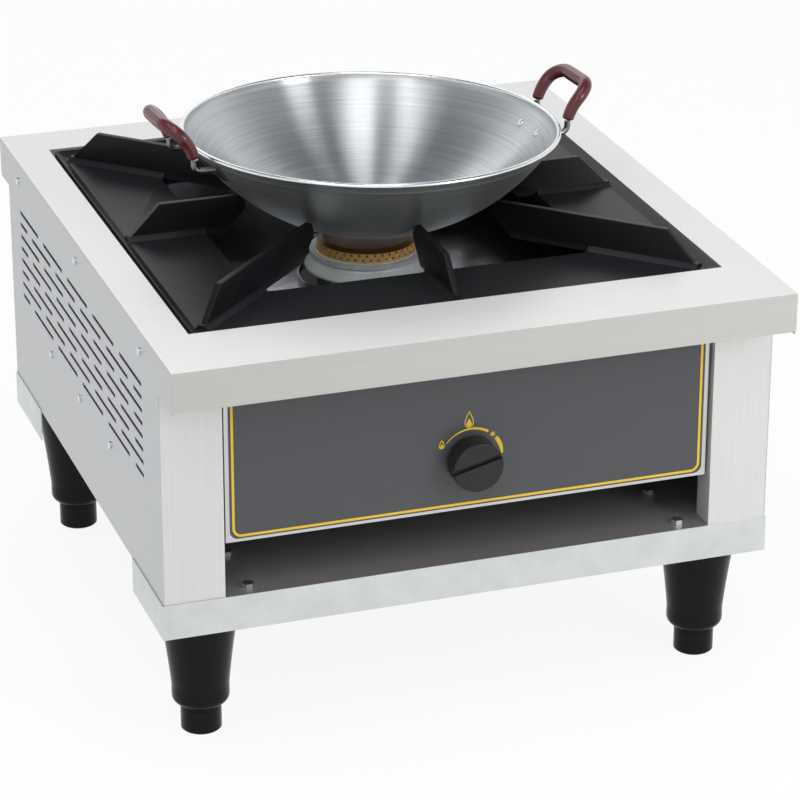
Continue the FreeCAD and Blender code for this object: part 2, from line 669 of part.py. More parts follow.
def make_side_panel(name, side):
    """One slotted sheet with ears that close the ends of the skirts."""
    body = new_body(f"{name}_side_panel")
    ear_tip = half_depth - plate_gauge
    ear_low = top_height - ear_drop
    panel_under = shelf_top - panel_lap
    outline = new_sketch(body, "YZ_Plane", inner_half if side > 0 else -half_width)
    draw_path(outline, [
        (-ear_tip, ear_low), (cabinet_front, ear_low), (cabinet_front, panel_under),
        (cabinet_rear, panel_under), (cabinet_rear, ear_low), (ear_tip, ear_low),
        (ear_tip, plate_under), (-ear_tip, plate_under),
    ])
    pad(body, outline, sheet_gauge)

    first_row = top_height - slot_drop
    rows_down = 3 * 2 * row_pitch
    last_row = first_row - rows_down
    odd = new_sketch(body, "YZ_Plane")
    draw_slot(odd, slot_middle - 2 * slot_pitch, last_row, slot_long, slot_tall)
    cut = pocket(body, odd)
    grid(body, cut, ("Y_Axis", "Z_Axis"), (4 * slot_pitch, rows_down), (5, 4))

    even = new_sketch(body, "YZ_Plane")
    draw_slot(even, slot_middle - 1.5 * slot_pitch, last_row - row_pitch, slot_long, slot_tall)
    cut = pocket(body, even)
    grid(body, cut, ("Y_Axis", "Z_Axis"), (3 * slot_pitch, rows_down), (4, 4))

    field_end = 2 * slot_pitch + slot_long / 2 - slot_short / 2
    short = new_sketch(body, "YZ_Plane")
    draw_slot(short, slot_middle - field_end, last_row - row_pitch, slot_short, slot_tall)
    cut = pocket(body, short)
    grid(body, cut, ("Y_Axis", "Z_Axis"), (2 * field_end, rows_down), (2, 4))

    holes = new_sketch(body, "YZ_Plane")
    for across, up in side_screw_spots():
        draw_circle(holes, across, up, screw_shank + screw_play)
    pocket(body, holes)


def side_screw_spots():
    """Places of one side's six screws: three under the top plate, three at the burner shelf."""
    for step in (-1, 0, 1):
        yield screw_middle + step * high_screw_pitch, top_height - high_screw_drop
        yield screw_middle + step * low_screw_pitch, top_height - low_screw_drop


def make_side_screws(name, side):
    """Six flat-headed screws: heads outside, shanks through the panel and what it holds."""
    body = new_body(f"{name}_side_screws")
    heads = new_sketch(body, "YZ_Plane", side * half_width)
    shanks = new_sketch(body, "YZ_Plane", side * half_width)
    for across, up in side_screw_spots():
        draw_circle(heads, across, up, screw_head)
        draw_circle(shanks, across, up, screw_shank)
    pad(body, heads, screw_head_tall, reverse=side < 0)
    pad(body, shanks, screw_long, reverse=side > 0)


def make_front_post(name, side):
    """A folded channel: its web is the post's face, its folds run back."""
    body = new_body(f"front_{name}_post")
    back = cabinet_front + post_depth
    inside = cabinet_front + sheet_gauge
    outline = new_sketch(body, "XY_Plane", shelf_top)
    draw_path(outline, [
        (side * post_inner, cabinet_front), (side * inner_half, cabinet_front),
        (side * inner_half, back), (side * (inner_half - sheet_gauge), back),
        (side * (inner_half - sheet_gauge), inside), (side * (post_inner + sheet_gauge), inside),
        (side * (post_inner + sheet_gauge), back), (side * post_inner, back),
    ])
    pad(body, outline, plate_under - shelf_top)


def make_rear_panel():
    """The back sheet with a fold along each side, ventilation slots and the gas inlet's hole."""
    body = new_body("rear_panel")
    inside = cabinet_rear - sheet_gauge
    fold = cabinet_rear - post_depth
    outline = new_sketch(body, "XY_Plane", shelf_top)
    draw_path(outline, [
        (-inner_half, cabinet_rear), (-inner_half, fold), (-inner_half + sheet_gauge, fold),
        (-inner_half + sheet_gauge, inside), (inner_half - sheet_gauge, inside),
        (inner_half - sheet_gauge, fold), (inner_half, fold), (inner_half, cabinet_rear),
    ])
    pad(body, outline, plate_under - shelf_top)

    lowest = top_height - slot_drop - 6 * row_pitch
    cut = new_sketch(body, "XZ_Plane")
    draw_slot(cut, -2 * slot_pitch, lowest, slot_long, slot_tall)
    row = pocket(body, cut)
    grid(body, row, ("X_Axis", "Z_Axis"), (4 * slot_pitch, 4 * row_pitch), (5, 3))

    hole = new_sketch(body, "XZ_Plane")
    draw_circle(hole, feed_side, knob_height, inlet_thread + screw_play)
    pocket(body, hole)


def make_base_rail(name, face, inward, returns_to):
    """A rail across the base that wraps round both corners and turns in below."""
    body = new_body(f"{name}_base_rail")
    outer = face - inward * sheet_gauge
    hem_end = outer + inward * rail_hem
    low_hem, high_hem = (outer, hem_end) if inward > 0 else (hem_end, outer)
    low_web, high_web = (outer, face) if inward > 0 else (face, outer)
    web = new_sketch(body, "YZ_Plane")
    draw_box(web, low_web, base_low, high_web, shelf_top)
    pad(body, web, top_width + 2 * sheet_gauge, symmetric=True)

    hem = new_sketch(body, "YZ_Plane")
    draw_box(hem, low_hem, base_low, high_hem, base_low + sheet_gauge)
    pad(body, hem, 2 * inner_half, symmetric=True)

    low_run, high_run = (face, returns_to) if inward > 0 else (returns_to, face)
    returns = new_sketch(body, "XY_Plane", base_low)
    draw_box(returns, half_width, low_run, half_width + sheet_gauge, high_run)
    draw_box(returns, -half_width - sheet_gauge, low_run, -half_width, high_run)
    pad(body, returns, base_tall)


def make_shelf_plate():
    """The base's plate: its front and rear edges turn down behind the rails."""
    body = new_body("shelf_plate")
    under = shelf_top - sheet_gauge
    plate = new_sketch(body, "XY_Plane", under)
    draw_box(plate, -inner_half, cabinet_front, inner_half, cabinet_rear)
    for leg_axis in LEGS.values():
        for across, back in bolt_spots(*leg_axis):
            draw_circle(plate, across, back, bolt_radius + screw_play)
    pad(body, plate, sheet_gauge)

    turned = new_sketch(body, "YZ_Plane")
    draw_box(turned, cabinet_front, under - shelf_turn, cabinet_front + sheet_gauge, under)
    draw_box(turned, cabinet_rear - sheet_gauge, under - shelf_turn, cabinet_rear, under)
    pad(body, turned, 2 * inner_half, symmetric=True)


def bolt_spots(across, back):
    """The places of the four bolts round one leg's axis."""
    for step_across in (-1, 1):
        for step_back in (-1, 1):
            yield (across + step_across * leg_bolt_side / 2,
                   back + step_back * leg_bolt_back / 2)


def make_leg_bolts():
    """Sixteen hexagon bolts down through the shelf plate into the legs' flanges."""
    body = new_body("leg_bolts")
    for leg_axis in LEGS.values():
        heads = new_sketch(body, "XY_Plane", shelf_top)
        shanks = new_sketch(body, "XY_Plane", shelf_top)
        for across, back in bolt_spots(*leg_axis):
            draw_hexagon(heads, across, back, bolt_head)
            draw_circle(shanks, across, back, bolt_radius)
        pad(body, heads, bolt_head_tall)
        pad(body, shanks, sheet_gauge + leg_flange, reverse=True)


def make_leg(name, across, back):
    """A turned leg under a square flange, bored from below for the foot's stud."""
    body = new_body(f"{name}_leg")
    flange_under = shelf_top - sheet_gauge - leg_flange
    flange = new_sketch(body, "XY_Plane", flange_under)
    half_side = leg_bolt_side / 2 + leg_margin
    half_back = leg_bolt_back / 2 + leg_margin
    draw_round_box(flange, -half_side, -half_back, half_side, half_back, leg_margin)
    for bolt_across, bolt_back in bolt_spots(0, 0):
        draw_circle(flange, bolt_across, bolt_back, bolt_radius + screw_play)
    pad(body, flange, leg_flange)

    bore = stud_radius + stud_play
    bore_top = leg_end + stud_long + stud_room
    shoulder = leg_waist - foot_radius
    turned = new_sketch(body, "XZ_Plane")
    draw_path(turned, [
        (0, flange_under), (0, bore_top), (bore, bore_top), (bore, leg_end),
        (foot_radius, leg_end), (foot_radius, leg_shoulder - shoulder, shoulder),
        (leg_waist, leg_shoulder), (leg_waist, leg_waist_high, -leg_curve),
        (leg_top, flange_under),
    ])
    revolve(body, turned)
    place(body, across, back, 0)


def make_foot(name, across, back):
    """A levelling foot with the stud that screws into its leg."""
    body = new_body(f"{name}_foot")
    top = leg_end - foot_gap
    turned = new_sketch(body, "XZ_Plane")
    draw_path(turned, [
        (0, 0), (foot_radius - foot_edge, 0), (foot_radius, foot_edge), (foot_radius, top),
        (stud_radius, top), (stud_radius, top + stud_long), (0, top + stud_long),
    ])
    revolve(body, turned)
    place(body, across, back, 0)


# Control panel and gas tap -------------------------------------------------------------------

def make_control_panel():
    """A folded tray set back between the posts, with the stem's hole."""
    body = new_body("control_panel")
    fold = panel_back + panel_fold
    outline = new_sketch(body, "XY_Plane", panel_low)
    draw_path(outline, [
        (-panel_half, panel_face), (panel_half, panel_face), (panel_half, fold),
        (panel_half - sheet_gauge, fold), (panel_half - sheet_gauge, panel_back),
        (-panel_half + sheet_gauge, panel_back), (-panel_half + sheet_gauge, fold),
        (-panel_half, fold),
    ])
    pad(body, outline, plate_under - panel_low)

    lower = new_sketch(body, "XY_Plane", panel_low)
    draw_box(lower, -panel_half + sheet_gauge, panel_back, panel_half - sheet_gauge, fold)
    pad(body, lower, sheet_gauge)

    hole = new_sketch(body, "XZ_Plane")
    draw_circle(hole, 0, knob_height, stem_hole)
    pocket(body, hole)


def make_panel_film():
    """The dark printed film stuck on the control panel's face."""
    body = new_body("panel_film")
    edge = panel_half - film_side
    low = panel_low + film_under
    high = top_height - skirt_drop + film_hidden
    film = new_sketch(body, "XZ_Plane", -panel_face)
    draw_path(film, [
        (-edge + film_corner, low), (edge - film_corner, low, film_corner),
        (edge, low + film_corner), (edge, high), (-edge, high),
        (-edge, low + film_corner, film_corner),
    ])
    draw_circle(film, 0, knob_height, stem_hole)
    pad(body, film, film_gauge)


def make_knob():
    """A round knob, modelled on its axis from the panel's face, with a straight grip groove."""
    body = new_body("knob")
    back = -film_gauge - knob_gap
    turned = new_sketch(body, "XY_Plane")
    draw_path(turned, [
        (stem_radius, back), (stem_radius, back - stem_sink), (0, back - stem_sink),
        (0, -knob_reach), (knob_radius - knob_round, -knob_reach, knob_round),
        (knob_radius, -knob_reach + knob_round), (knob_radius, back),
    ])
    revolve(body, turned)
    turn = FreeCAD.Rotation(FreeCAD.Vector(0, 0, 1), groove_turn.number)
    groove = new_sketch(body, "XZ_Plane", knob_reach, turn)
    draw_box(groove, -knob_radius - 1, groove_up - groove_wide / 2,
             knob_radius + 1, groove_up + groove_wide / 2)
    pocket(body, groove, groove_deep)
    place(body, 0, panel_face, knob_height)


def make_tap_stem():
    """The stem: it turns the plug and slides through it."""
    body = new_body("tap_stem")
    front = -film_gauge - knob_gap - stem_sink
    end = sheet_gauge + plug_start + plug_long
    stem = new_sketch(body, "XZ_Plane", -end)
    draw_circle(stem, 0, 0, stem_radius)
    pad(body, stem, end - front)
    place(body, 0, panel_face, knob_height)


def make_tap_plug():
    """The tap's plug with a bore for the stem, which opens and closes the gas way."""
    body = new_body("tap_plug")
    plug = new_sketch(body, "XZ_Plane", -plug_start - plug_long)
    draw_circle(plug, 0, 0, plug_radius)
    draw_circle(plug, 0, 0, stem_radius + stem_play)
    pad(body, plug, plug_long)
    way = new_sketch(body, "XY_Plane")
    draw_circle(way, 0, plug_start + plug_long * 0.75, 2)
    pocket(body, way)
    place(body, 0, panel_back, knob_height)


def make_gas_tap():
    """The tap's brass body: flange at the panel, a chamber for the plug, two bosses."""
    body = new_body("gas_tap")
    chamber = plug_radius + stem_play
    chamber_end = plug_start + plug_long + plug_room
    nose_hole = stem_radius + stem_play
    turned = new_sketch(body, "XY_Plane")
    draw_path(turned, [
        (nose_hole, 0), (tap_flange, 0), (tap_flange, tap_flange_thick),
        (tap_radius, tap_flange_thick), (tap_radius, tap_long), (0, tap_long),
        (0, chamber_end), (chamber, chamber_end), (chamber, plug_start - stem_play),
        (nose_hole, plug_start - stem_play),
    ])
    revolve(body, turned)

    inlet = new_sketch(body, "YZ_Plane", chamber)
    draw_circle(inlet, boss_back, 0, inlet_boss)
    pad(body, inlet, inlet_reach - chamber)
    outlet = new_sketch(body, "XY_Plane", chamber)
    draw_circle(outlet, 0, boss_back, outlet_boss)
    pad(body, outlet, outlet_reach - chamber)
    chamber_again = new_sketch(body, "XZ_Plane", -chamber_end)
    draw_circle(chamber_again, 0, 0, chamber)
    pocket(body, chamber_again, chamber_end - plug_start + stem_play, reverse=True)
    place(body, 0, panel_back, knob_height)


def make_magnet_unit():
    """The flame safety's magnet, screwed into the back of the tap."""
    body = new_body("magnet_unit")
    turned = new_sketch(body, "XY_Plane")
    tail = magnet_radius / 3
    draw_path(turned, [
        (0, 0), (magnet_radius, 0), (magnet_radius, magnet_long), (tail, magnet_long),
        (tail, magnet_long + 2 * tail), (0, magnet_long + 2 * tail),
    ])
    revolve(body, turned)
    place(body, 0, panel_back + tap_long, knob_height)


def make_feed_pipe():
    """From the inlet at the back, forward past the burner and across to the tap."""
    body = new_body("feed_pipe")
    far = cabinet_rear - sheet_gauge - inlet_socket
    bend_pipe(body, "XY_Plane", knob_height, [
        (inlet_reach, boss_place), (feed_side - feed_bend, boss_place, feed_bend),
        (feed_side, boss_place + feed_bend), (feed_side, far),
    ], "YZ_Plane", inlet_reach, (boss_place, knob_height), feed_radius)


def make_supply_pipe():
    """From the tap's outlet up and back to the injector's holder."""
    body = new_body("supply_pipe")
    bend_pipe(body, "YZ_Plane", 0, [
        (boss_place, outlet_top), (boss_place, venturi_height - supply_bend, -supply_bend),
        (boss_place + supply_bend, venturi_height), (holder_rear, venturi_height),
    ], "XY_Plane", outlet_top, (0, boss_place), supply_radius)


def make_gas_inlet():
    """The threaded inlet: a socket inside, a nut and half an inch of thread outside."""
    body = new_body("gas_inlet")
    inside = -sheet_gauge - inlet_socket
    turned = new_sketch(body, "XY_Plane")
    collar = inlet_thread + inlet_wall
    neck = inlet_thread - inlet_relief
    bore = inlet_thread - inlet_wall
    draw_path(turned, [
        (0, inside), (collar, inside), (collar, -sheet_gauge), (neck, -sheet_gauge),
        (neck, inlet_nut_thick), (inlet_thread, inlet_nut_thick), (inlet_thread, inlet_stands),
        (bore, inlet_stands), (bore, 0), (0, 0),
    ])
    revolve(body, turned)
    place(body, feed_side, cabinet_rear, knob_height)


def make_inlet_nut():
    """The hexagon nut that holds the inlet against the rear panel."""
    body = new_body("inlet_nut")
    nut = new_sketch(body, "XZ_Plane", -inlet_nut_thick)
    draw_hexagon(nut, 0, 0, inlet_nut)
    draw_circle(nut, 0, 0, inlet_thread - inlet_relief + stem_play)
    pad(body, nut, inlet_nut_thick)
    place(body, feed_side, cabinet_rear, knob_height)


def make_pipe_clips():
    """Two saddles that hold the feed pipe down on the burner shelf."""
    body = new_body("pipe_clips")
    inner = feed_radius + stem_play
    outer = inner + clip_wall
    floor = -feed_radius - bridge_gap
    rise = root(outer * outer - (floor + clip_wall) * (floor + clip_wall))
    clips = new_sketch(body, "XZ_Plane")
    draw_path(clips, [
        (-clip_foot, floor), (clip_foot, floor), (clip_foot, floor + clip_wall),
        (rise, floor + clip_wall, outer), (0, outer, outer), (-rise, floor + clip_wall),
        (-clip_foot, floor + clip_wall),
    ])
    draw_circle(clips, 0, 0, inner)
    clip = pad(body, clips, clip_wide)
    feature = body.newObject("PartDesign::LinearPattern", "pipe_clips_row")
    feature.Originals = [clip]
    feature.Direction = (origin_part(body, "Y_Axis"), [""])
    bind(feature, "Length", clip_pitch)
    feature.Occurrences = 2
    body.Tip = feature
    place(body, feed_side, screw_middle - clip_pitch / 2 + clip_wide / 2, knob_height)


# Burner --------------------------------------------------------------------------------------

def make_burner_shelf():
    """The cross plate between the side panels, turned down at both ends."""
    body = new_body("burner_shelf")
    under = bridge_top - sheet_gauge
    plate = new_sketch(body, "XY_Plane", under)
    draw_box(plate, -inner_half, bridge_front, inner_half, bridge_rear)
    draw_circle(plate, burner_side, burner_back, bolt_radius + screw_play)
    pad(body, plate, sheet_gauge)

    ends = new_sketch(body, "XY_Plane", under - bridge_turn)
    draw_box(ends, inner_half - sheet_gauge, bridge_front, inner_half, bridge_rear)
    draw_box(ends, -inner_half, bridge_front, sheet_gauge - inner_half, bridge_rear)
    pad(body, ends, bridge_turn)

    holes = new_sketch(body, "YZ_Plane")
    for step in (-1, 0, 1):
        draw_circle(holes, screw_middle + step * low_screw_pitch,
                    top_height - low_screw_drop, screw_shank + screw_play)
    pocket(body, holes)


def make_burner_casting():
    """A bowl under a wide flange, a neck on the burner shelf and a stub for the venturi."""
    body = new_body("burner_casting")
    mouth = ring_radius - ring_wall + spigot_play
    neck_top = casting_top - bowl_deep
    hollow = neck_radius - casting_wall
    hollow_end = venturi_height - venturi_outer
    turned = new_sketch(body, "XZ_Plane")
    bowl_arc = 1.4 * bowl_deep
    draw_path(turned, [
        (mouth, casting_top), (mouth, casting_top - ring_spigot - 1, -bowl_arc),
        (hollow, neck_top), (hollow, hollow_end), (0, hollow_end), (0, bridge_top),
        (neck_radius, bridge_top), (neck_radius, neck_top, bowl_arc),
        (ring_radius, casting_top - flange_thick - 3), (flange_radius, casting_top - flange_thick),
        (flange_radius, casting_top),
    ])
    revolve(body, turned)

    stub_radius = venturi_outer + casting_wall
    stub = new_sketch(body, "XZ_Plane", neck_radius - casting_wall / 2)
    draw_circle(stub, 0, venturi_height, stub_radius)
    pad(body, stub, stub_reach - neck_radius + casting_wall / 2)
    bore = new_sketch(body, "XZ_Plane", stub_reach)
    draw_circle(bore, 0, venturi_height, venturi_outer)
    pocket(body, bore, stub_reach)
    thread = new_sketch(body, "XY_Plane", bridge_top)
    draw_circle(thread, 0, 0, bolt_radius + screw_play)
    pocket(body, thread, burner_bolt_long, reverse=True)
    place(body, burner_side, burner_back, 0)


def make_burner_bolt():
    """The bolt that holds the casting down from under the burner shelf."""
    body = new_body("burner_bolt")
    head = new_sketch(body, "XY_Plane", bridge_top - sheet_gauge - bolt_head_tall)
    draw_hexagon(head, 0, 0, bolt_head)
    pad(body, head, bolt_head_tall)
    shank = new_sketch(body, "XY_Plane", bridge_top - sheet_gauge)
    draw_circle(shank, 0, 0, bolt_radius)
    pad(body, shank, burner_bolt_long)
    place(body, burner_side, burner_back, 0)


def make_burner_ring():
    """The brass ring: a ported wall with a bevelled edge, a sunk top and a spigot."""
    body = new_body("burner_ring")
    inner = ring_radius - ring_wall
    thick = ring_wall - 1
    turned = new_sketch(body, "XZ_Plane")
    draw_path(turned, [
        (0, ring_tall - ring_sunk), (0, ring_tall - ring_sunk - thick),
        (inner - thick, ring_tall - ring_sunk - thick), (inner - thick, -ring_spigot),
        (inner, -ring_spigot), (inner, 0), (ring_radius, 0),
        (ring_radius, ring_tall - ring_bevel), (ring_top, ring_tall),
        (ring_top - 2, ring_tall), (ring_top - 3, ring_tall - ring_sunk),
    ])
    revolve(body, turned)

    half_step = 180 / port_count.number
    rows = []
    for drop, turn in ((port_high, 0), (port_low, half_step)):
        rotation = FreeCAD.Rotation(FreeCAD.Vector(0, 1, 0), turn)
        port = new_sketch(body, "XZ_Plane", inner - port_radius, rotation)
        draw_circle(port, 0, ring_tall - drop, port_radius)
        rows.append(pocket(body, port, ring_wall + 2 * port_radius, reverse=True))
    polar(body, rows, port_count)
    place(body, burner_side, burner_back, casting_top)


def make_venturi():
    """The mixing tube: a bell mouth, a narrow throat and a long flare to the casting."""
    body = new_body("venturi")
    throat = venturi_long * 0.78
    bell = venturi_long - throat
    turned = new_sketch(body, "XY_Plane")
    wall = venturi_wall
    draw_path(turned, [
        (venturi_outer - stem_play, venturi_plug), (venturi_outer - wall, venturi_plug),
        (venturi_outer - wall, 0), (venturi_throat, -throat),
        (venturi_mouth - wall, -venturi_long), (venturi_mouth, -venturi_long),
        (venturi_mouth - wall / 2, -venturi_long + wall),
        (venturi_throat + wall, -throat + bell / 4), (venturi_outer - stem_play, -wall),
    ])
    revolve(body, turned)
    place(body, burner_side, venturi_start, venturi_height)


def make_injector():
    """The brass nozzle at the venturi's mouth."""
    body = new_body("injector")
    turned = new_sketch(body, "XY_Plane")
    tip = injector_radius / 2
    draw_path(turned, [
        (0.6, 0), (injector_radius, 0), (injector_radius, injector_long * 0.6),
        (tip, injector_long), (0.6, injector_long),
    ])
    revolve(body, turned)
    place(body, burner_side, holder_front, venturi_height)


def make_injector_holder():
    """The brass holder between the supply pipe and the injector."""
    body = new_body("injector_holder")
    holder = new_sketch(body, "XZ_Plane")
    draw_circle(holder, 0, 0, holder_radius)
    pad(body, holder, holder_long)
    place(body, burner_side, holder_front, venturi_height)


def make_injector_bracket():
    """The angle that holds the injector's holder over the burner shelf."""
    body = new_body("injector_bracket")
    middle = holder_front - holder_long / 2
    floor = bridge_top - venturi_height
    web = new_sketch(body, "XZ_Plane")
    draw_box(web, -holder_side, floor, holder_side, holder_side)
    draw_circle(web, 0, 0, holder_radius + screw_play / 2)
    pad(body, web, holder_sheet, reverse=True)
    foot = new_sketch(body, "YZ_Plane")
    draw_box(foot, holder_sheet, floor, holder_sheet + holder_foot, floor + holder_sheet)
    pad(body, foot, 2 * holder_side, symmetric=True)
    place(body, burner_side, middle, venturi_height)


def make_flame_bracket():
    """The upright behind the burner that holds the thermocouple and the electrode."""
    body = new_body("flame_bracket")
    web = burner_back + stand_back
    profile = new_sketch(body, "YZ_Plane")
    draw_path(profile, [
        (web, bridge_top), (web + post_depth, bridge_top),
        (web + post_depth, bridge_top + sheet_gauge), (web + sheet_gauge, bridge_top + sheet_gauge),
        (web + sheet_gauge, stand_high), (web - stand_reach, stand_high),
        (web - stand_reach, stand_high - sheet_gauge), (web, stand_high - sheet_gauge),
    ])
    pad(body, profile, 2 * stand_side, symmetric=True)
    holes = new_sketch(body, "XY_Plane", stand_high)
    draw_circle(holes, -probe_turn, probe_back() + burner_back, probe_radius + screw_play / 2)
    draw_circle(holes, probe_turn, probe_back() + burner_back, electrode_radius + screw_play / 2)
    pocket(body, holes, 2 * sheet_gauge)
    place(body, burner_side, 0, 0)


def probe_back():
    """How far behind the burner's axis the thermocouple and the electrode stand."""
    return root(probe_circle * probe_circle - probe_turn * probe_turn)


def make_thermocouple():
    """The probe whose tip stands in the flames."""
    body = new_body("thermocouple")
    tip = casting_top + ring_tall - port_high
    turned = new_sketch(body, "XZ_Plane")
    draw_path(turned, [
        (0, probe_foot), (probe_radius, probe_foot), (probe_radius, tip - 1),
        (probe_radius - 1, tip), (0, tip),
    ])
    revolve(body, turned)
    place(body, burner_side - probe_turn, burner_back + probe_back(), 0)


def make_electrode():
    """The igniter: a ceramic rod with a bare wire at its tip."""
    body = new_body("ignition_electrode")
    tip = casting_top + ring_tall - port_high
    turned = new_sketch(body, "XZ_Plane")
    draw_path(turned, [
        (0, probe_foot), (electrode_radius, probe_foot), (electrode_radius, tip - spark_long),
        (spark_radius, tip - spark_long), (spark_radius, tip), (0, tip),
    ])
    revolve(body, turned)
    place(body, burner_side + probe_turn, burner_back + probe_back(), 0)


def make_spill_tray():
    """The tray under the pan support: it hangs from the ledge and clears the burner."""
    body = new_body("spill_tray")
    wall = opening_half - tray_inset
    front = opening_front + tray_inset
    rear = opening_rear - tray_inset
    under = top_height - tray_drop
    floor = new_sketch(body, "XY_Plane", under)
    draw_box(floor, -wall, front, wall, rear)
    draw_circle(floor, burner_side, burner_back, tray_hole)
    pad(body, floor, tray_gauge)

    walls = new_sketch(body, "XY_Plane", under + tray_gauge)
    draw_box(walls, -wall, front, wall, rear)
    draw_box(walls, -wall + tray_gauge, front + tray_gauge, wall - tray_gauge, rear - tray_gauge)
    pad(body, walls, ledge_under - under - tray_gauge)

    rim = new_sketch(body, "XY_Plane", ledge_under - tray_gauge)
    draw_box(rim, -opening_half, opening_front, opening_half, opening_rear)
    draw_box(rim, -wall + tray_gauge, front + tray_gauge, wall - tray_gauge, rear - tray_gauge)
    pad(body, rim, tray_gauge)

    collar = new_sketch(body, "XY_Plane", under)
    draw_circle(collar, burner_side, burner_back, tray_hole + tray_gauge)
    draw_circle(collar, burner_side, burner_back, tray_hole)
    pad(body, collar, tray_collar)


# Pan support ---------------------------------------------------------------------------------

def make_pan_support():
    """One iron casting: a plate with a sloping lip and a square window, and eight fins.

    It is modelled round its own centre, with zero height at the top plate's face.
    """
    body = new_body("pan_support")
    half_x, half_y = support_half_x, support_half_y
    crest = support_lip - support_sunk
    plate = new_sketch(body, "XY_Plane", -lip_drop)
    draw_round_box(plate, -half_x, -half_y, half_x, half_y, support_round)
    draw_round_box(plate, -window_half, -window_half, window_half, window_half, window_round)
    pad(body, plate, crest + lip_drop)

    slope = new_sketch(body, "XY_Plane", crest)
    draw_round_box(slope, -half_x + lip_crest, -half_y + lip_crest,
                   half_x - lip_crest, half_y - lip_crest, support_round)
    sunk = pocket(body, slope, support_lip)
    run = lip_run - lip_crest
    sunk.TaperAngle = math.degrees(math.atan2(run.number, support_lip.number)) * -1

    corner = root(2 * support_least * support_least)
    window_corner = root(2 * window_half * window_half) - window_round / 2
    make_fins(body, support_least - side_fin_short, window_half, 0)
    make_fins(body, corner - corner_fin_short, window_corner, 45)
    place(body, support_side, support_middle, top_height)


def make_fins(body, foot, window, turn):
    """Four fins at right angles: a level edge, a sloping outer end and a cut-back nose.

    Between the window and its foot each fin rises from the plate with a slope on both sides.
    """
    top = foot - fin_end
    rotation = FreeCAD.Rotation(FreeCAD.Vector(0, 1, 0), turn)
    outline = new_sketch(body, "XZ_Plane", 0, rotation)
    draw_path(outline, [
        (foot, -support_sunk), (foot, -fin_under - 1), (heel_radius, -fin_under),
        (nose_radius, fin_tall - nose_drop - nose_tall), (nose_radius, fin_tall - nose_drop),
        (seat_radius, fin_tall), (top, fin_tall),
    ])
    fin = pad(body, outline, fin_thick, symmetric=True)

    section = new_sketch(body, "YZ_Plane", window, rotation)
    half = fin_thick / 2
    wide = half + fin_root
    draw_path(section, [
        (-wide, -fin_under), (wide, -fin_under), (wide, -support_sunk),
        (half, fin_root - support_sunk), (-half, fin_root - support_sunk), (-wide, -support_sunk),
    ])
    slope = pad(body, section, foot - window)
    polar(body, [fin, slope], 4)


# Wok -----------------------------------------------------------------------------------------

def make_wok_bowl():
    """A slice of a sphere with a rolled bead, modelled round the sphere's centre."""
    body = new_body("wok_bowl")
    inner = wok_radius - wok_gauge
    outer_rim = root(wok_radius * wok_radius - wok_rise * wok_rise)
    inner_rim = root(inner * inner - wok_rise * wok_rise)
    turned = new_sketch(body, "XZ_Plane")
    draw_path(turned, [
        (0, -wok_radius, wok_radius), (outer_rim, -wok_rise),
        (inner_rim, -wok_rise, -inner), (0, -inner),
    ])
    revolve(body, turned)
    bead = new_sketch(body, "XZ_Plane")
    draw_circle(bead, outer_rim + bead_radius / 8, -wok_rise, bead_radius)
    revolve(body, bead)
    for turn, half in rivet_spots():
        hole = new_sketch(body, "XY_Plane")
        draw_circle(hole, 0, 0, rivet_shank + strap_gap)
        aim_at_rivet(hole, turn, half)
        pocket(body, hole, 6 * wok_gauge, symmetric=True)
    place(body, support_side, support_middle, wok_centre, wok_rotation())


def wok_rotation(turn=0):
    """The wok stands a little askew on the fins: its tilt, with a turn about its own axis."""
    sideways = FreeCAD.Rotation(FreeCAD.Vector(0, 1, 0), wok_tilt_side.number)
    backwards = FreeCAD.Rotation(FreeCAD.Vector(-1, 0, 0), wok_tilt_back.number)
    turning = FreeCAD.Rotation(FreeCAD.Vector(0, 0, 1), turn)
    return sideways.multiply(backwards).multiply(turning)


def rivet_spots():
    """The four rivets: the turn of their handle and the step beside its middle."""
    for turn in (grip_turn.number, grip_turn.number + 180):
        for half in (-rivet_half.number, rivet_half.number):
            yield turn, half


def rivet_frame(turn, half):
    """Where a rivet crosses the bowl's inner face, with its axis square on the bowl."""
    inner = (wok_radius - wok_gauge).number
    drop = (wok_rise + rivet_drop).number
    out = math.sqrt(inner * inner - drop * drop - half * half)
    turning = FreeCAD.Rotation(FreeCAD.Vector(0, 0, 1), turn)
    spot = turning.multVec(FreeCAD.Vector(out, half, -drop))
    return FreeCAD.Placement(spot, FreeCAD.Rotation(FreeCAD.Vector(0, 0, -1), spot))


def aim_at_rivet(sketch, turn, half):
    sketch.setExpression("AttachmentOffset.Base.z", None)
    sketch.AttachmentOffset = rivet_frame(turn, half)


def make_wok_rivets():
    """Four round-headed rivets through the bowl and the straps."""
    rivets = []
    reach = (wok_gauge + strap_gap + strap_thick).number
    for turn, half in rivet_spots():
        head = Part.makeSphere(1, FreeCAD.Vector(), FreeCAD.Vector(0, 0, 1), 0, 90)
        stretch = FreeCAD.Matrix()
        stretch.scale(rivet_head.number, rivet_head.number, rivet_dome.number)
        dome = head.transformGeometry(stretch)
        dome.translate(FreeCAD.Vector(0, 0, strap_gap.number))
        shank = Part.makeCylinder(rivet_shank.number, reach + rivet_dome.number * 1.5,
                                  FreeCAD.Vector(0, 0, -reach - rivet_dome.number))
        tail = Part.makeCylinder(rivet_head.number * 0.8, rivet_dome.number * 0.8,
                                 FreeCAD.Vector(0, 0, -reach - rivet_dome.number))
        rivet = dome.fuse([shank, tail]).removeSplitter()
        rivet.Placement = rivet_frame(turn, half)
        rivets.append(rivet)
    group = doc.addObject("Part::Feature", "wok_rivets")
    group.Label = "wok_rivets"
    group.Shape = Part.makeCompound(rivets)
    place(group, support_side, support_middle, wok_centre, wok_rotation())


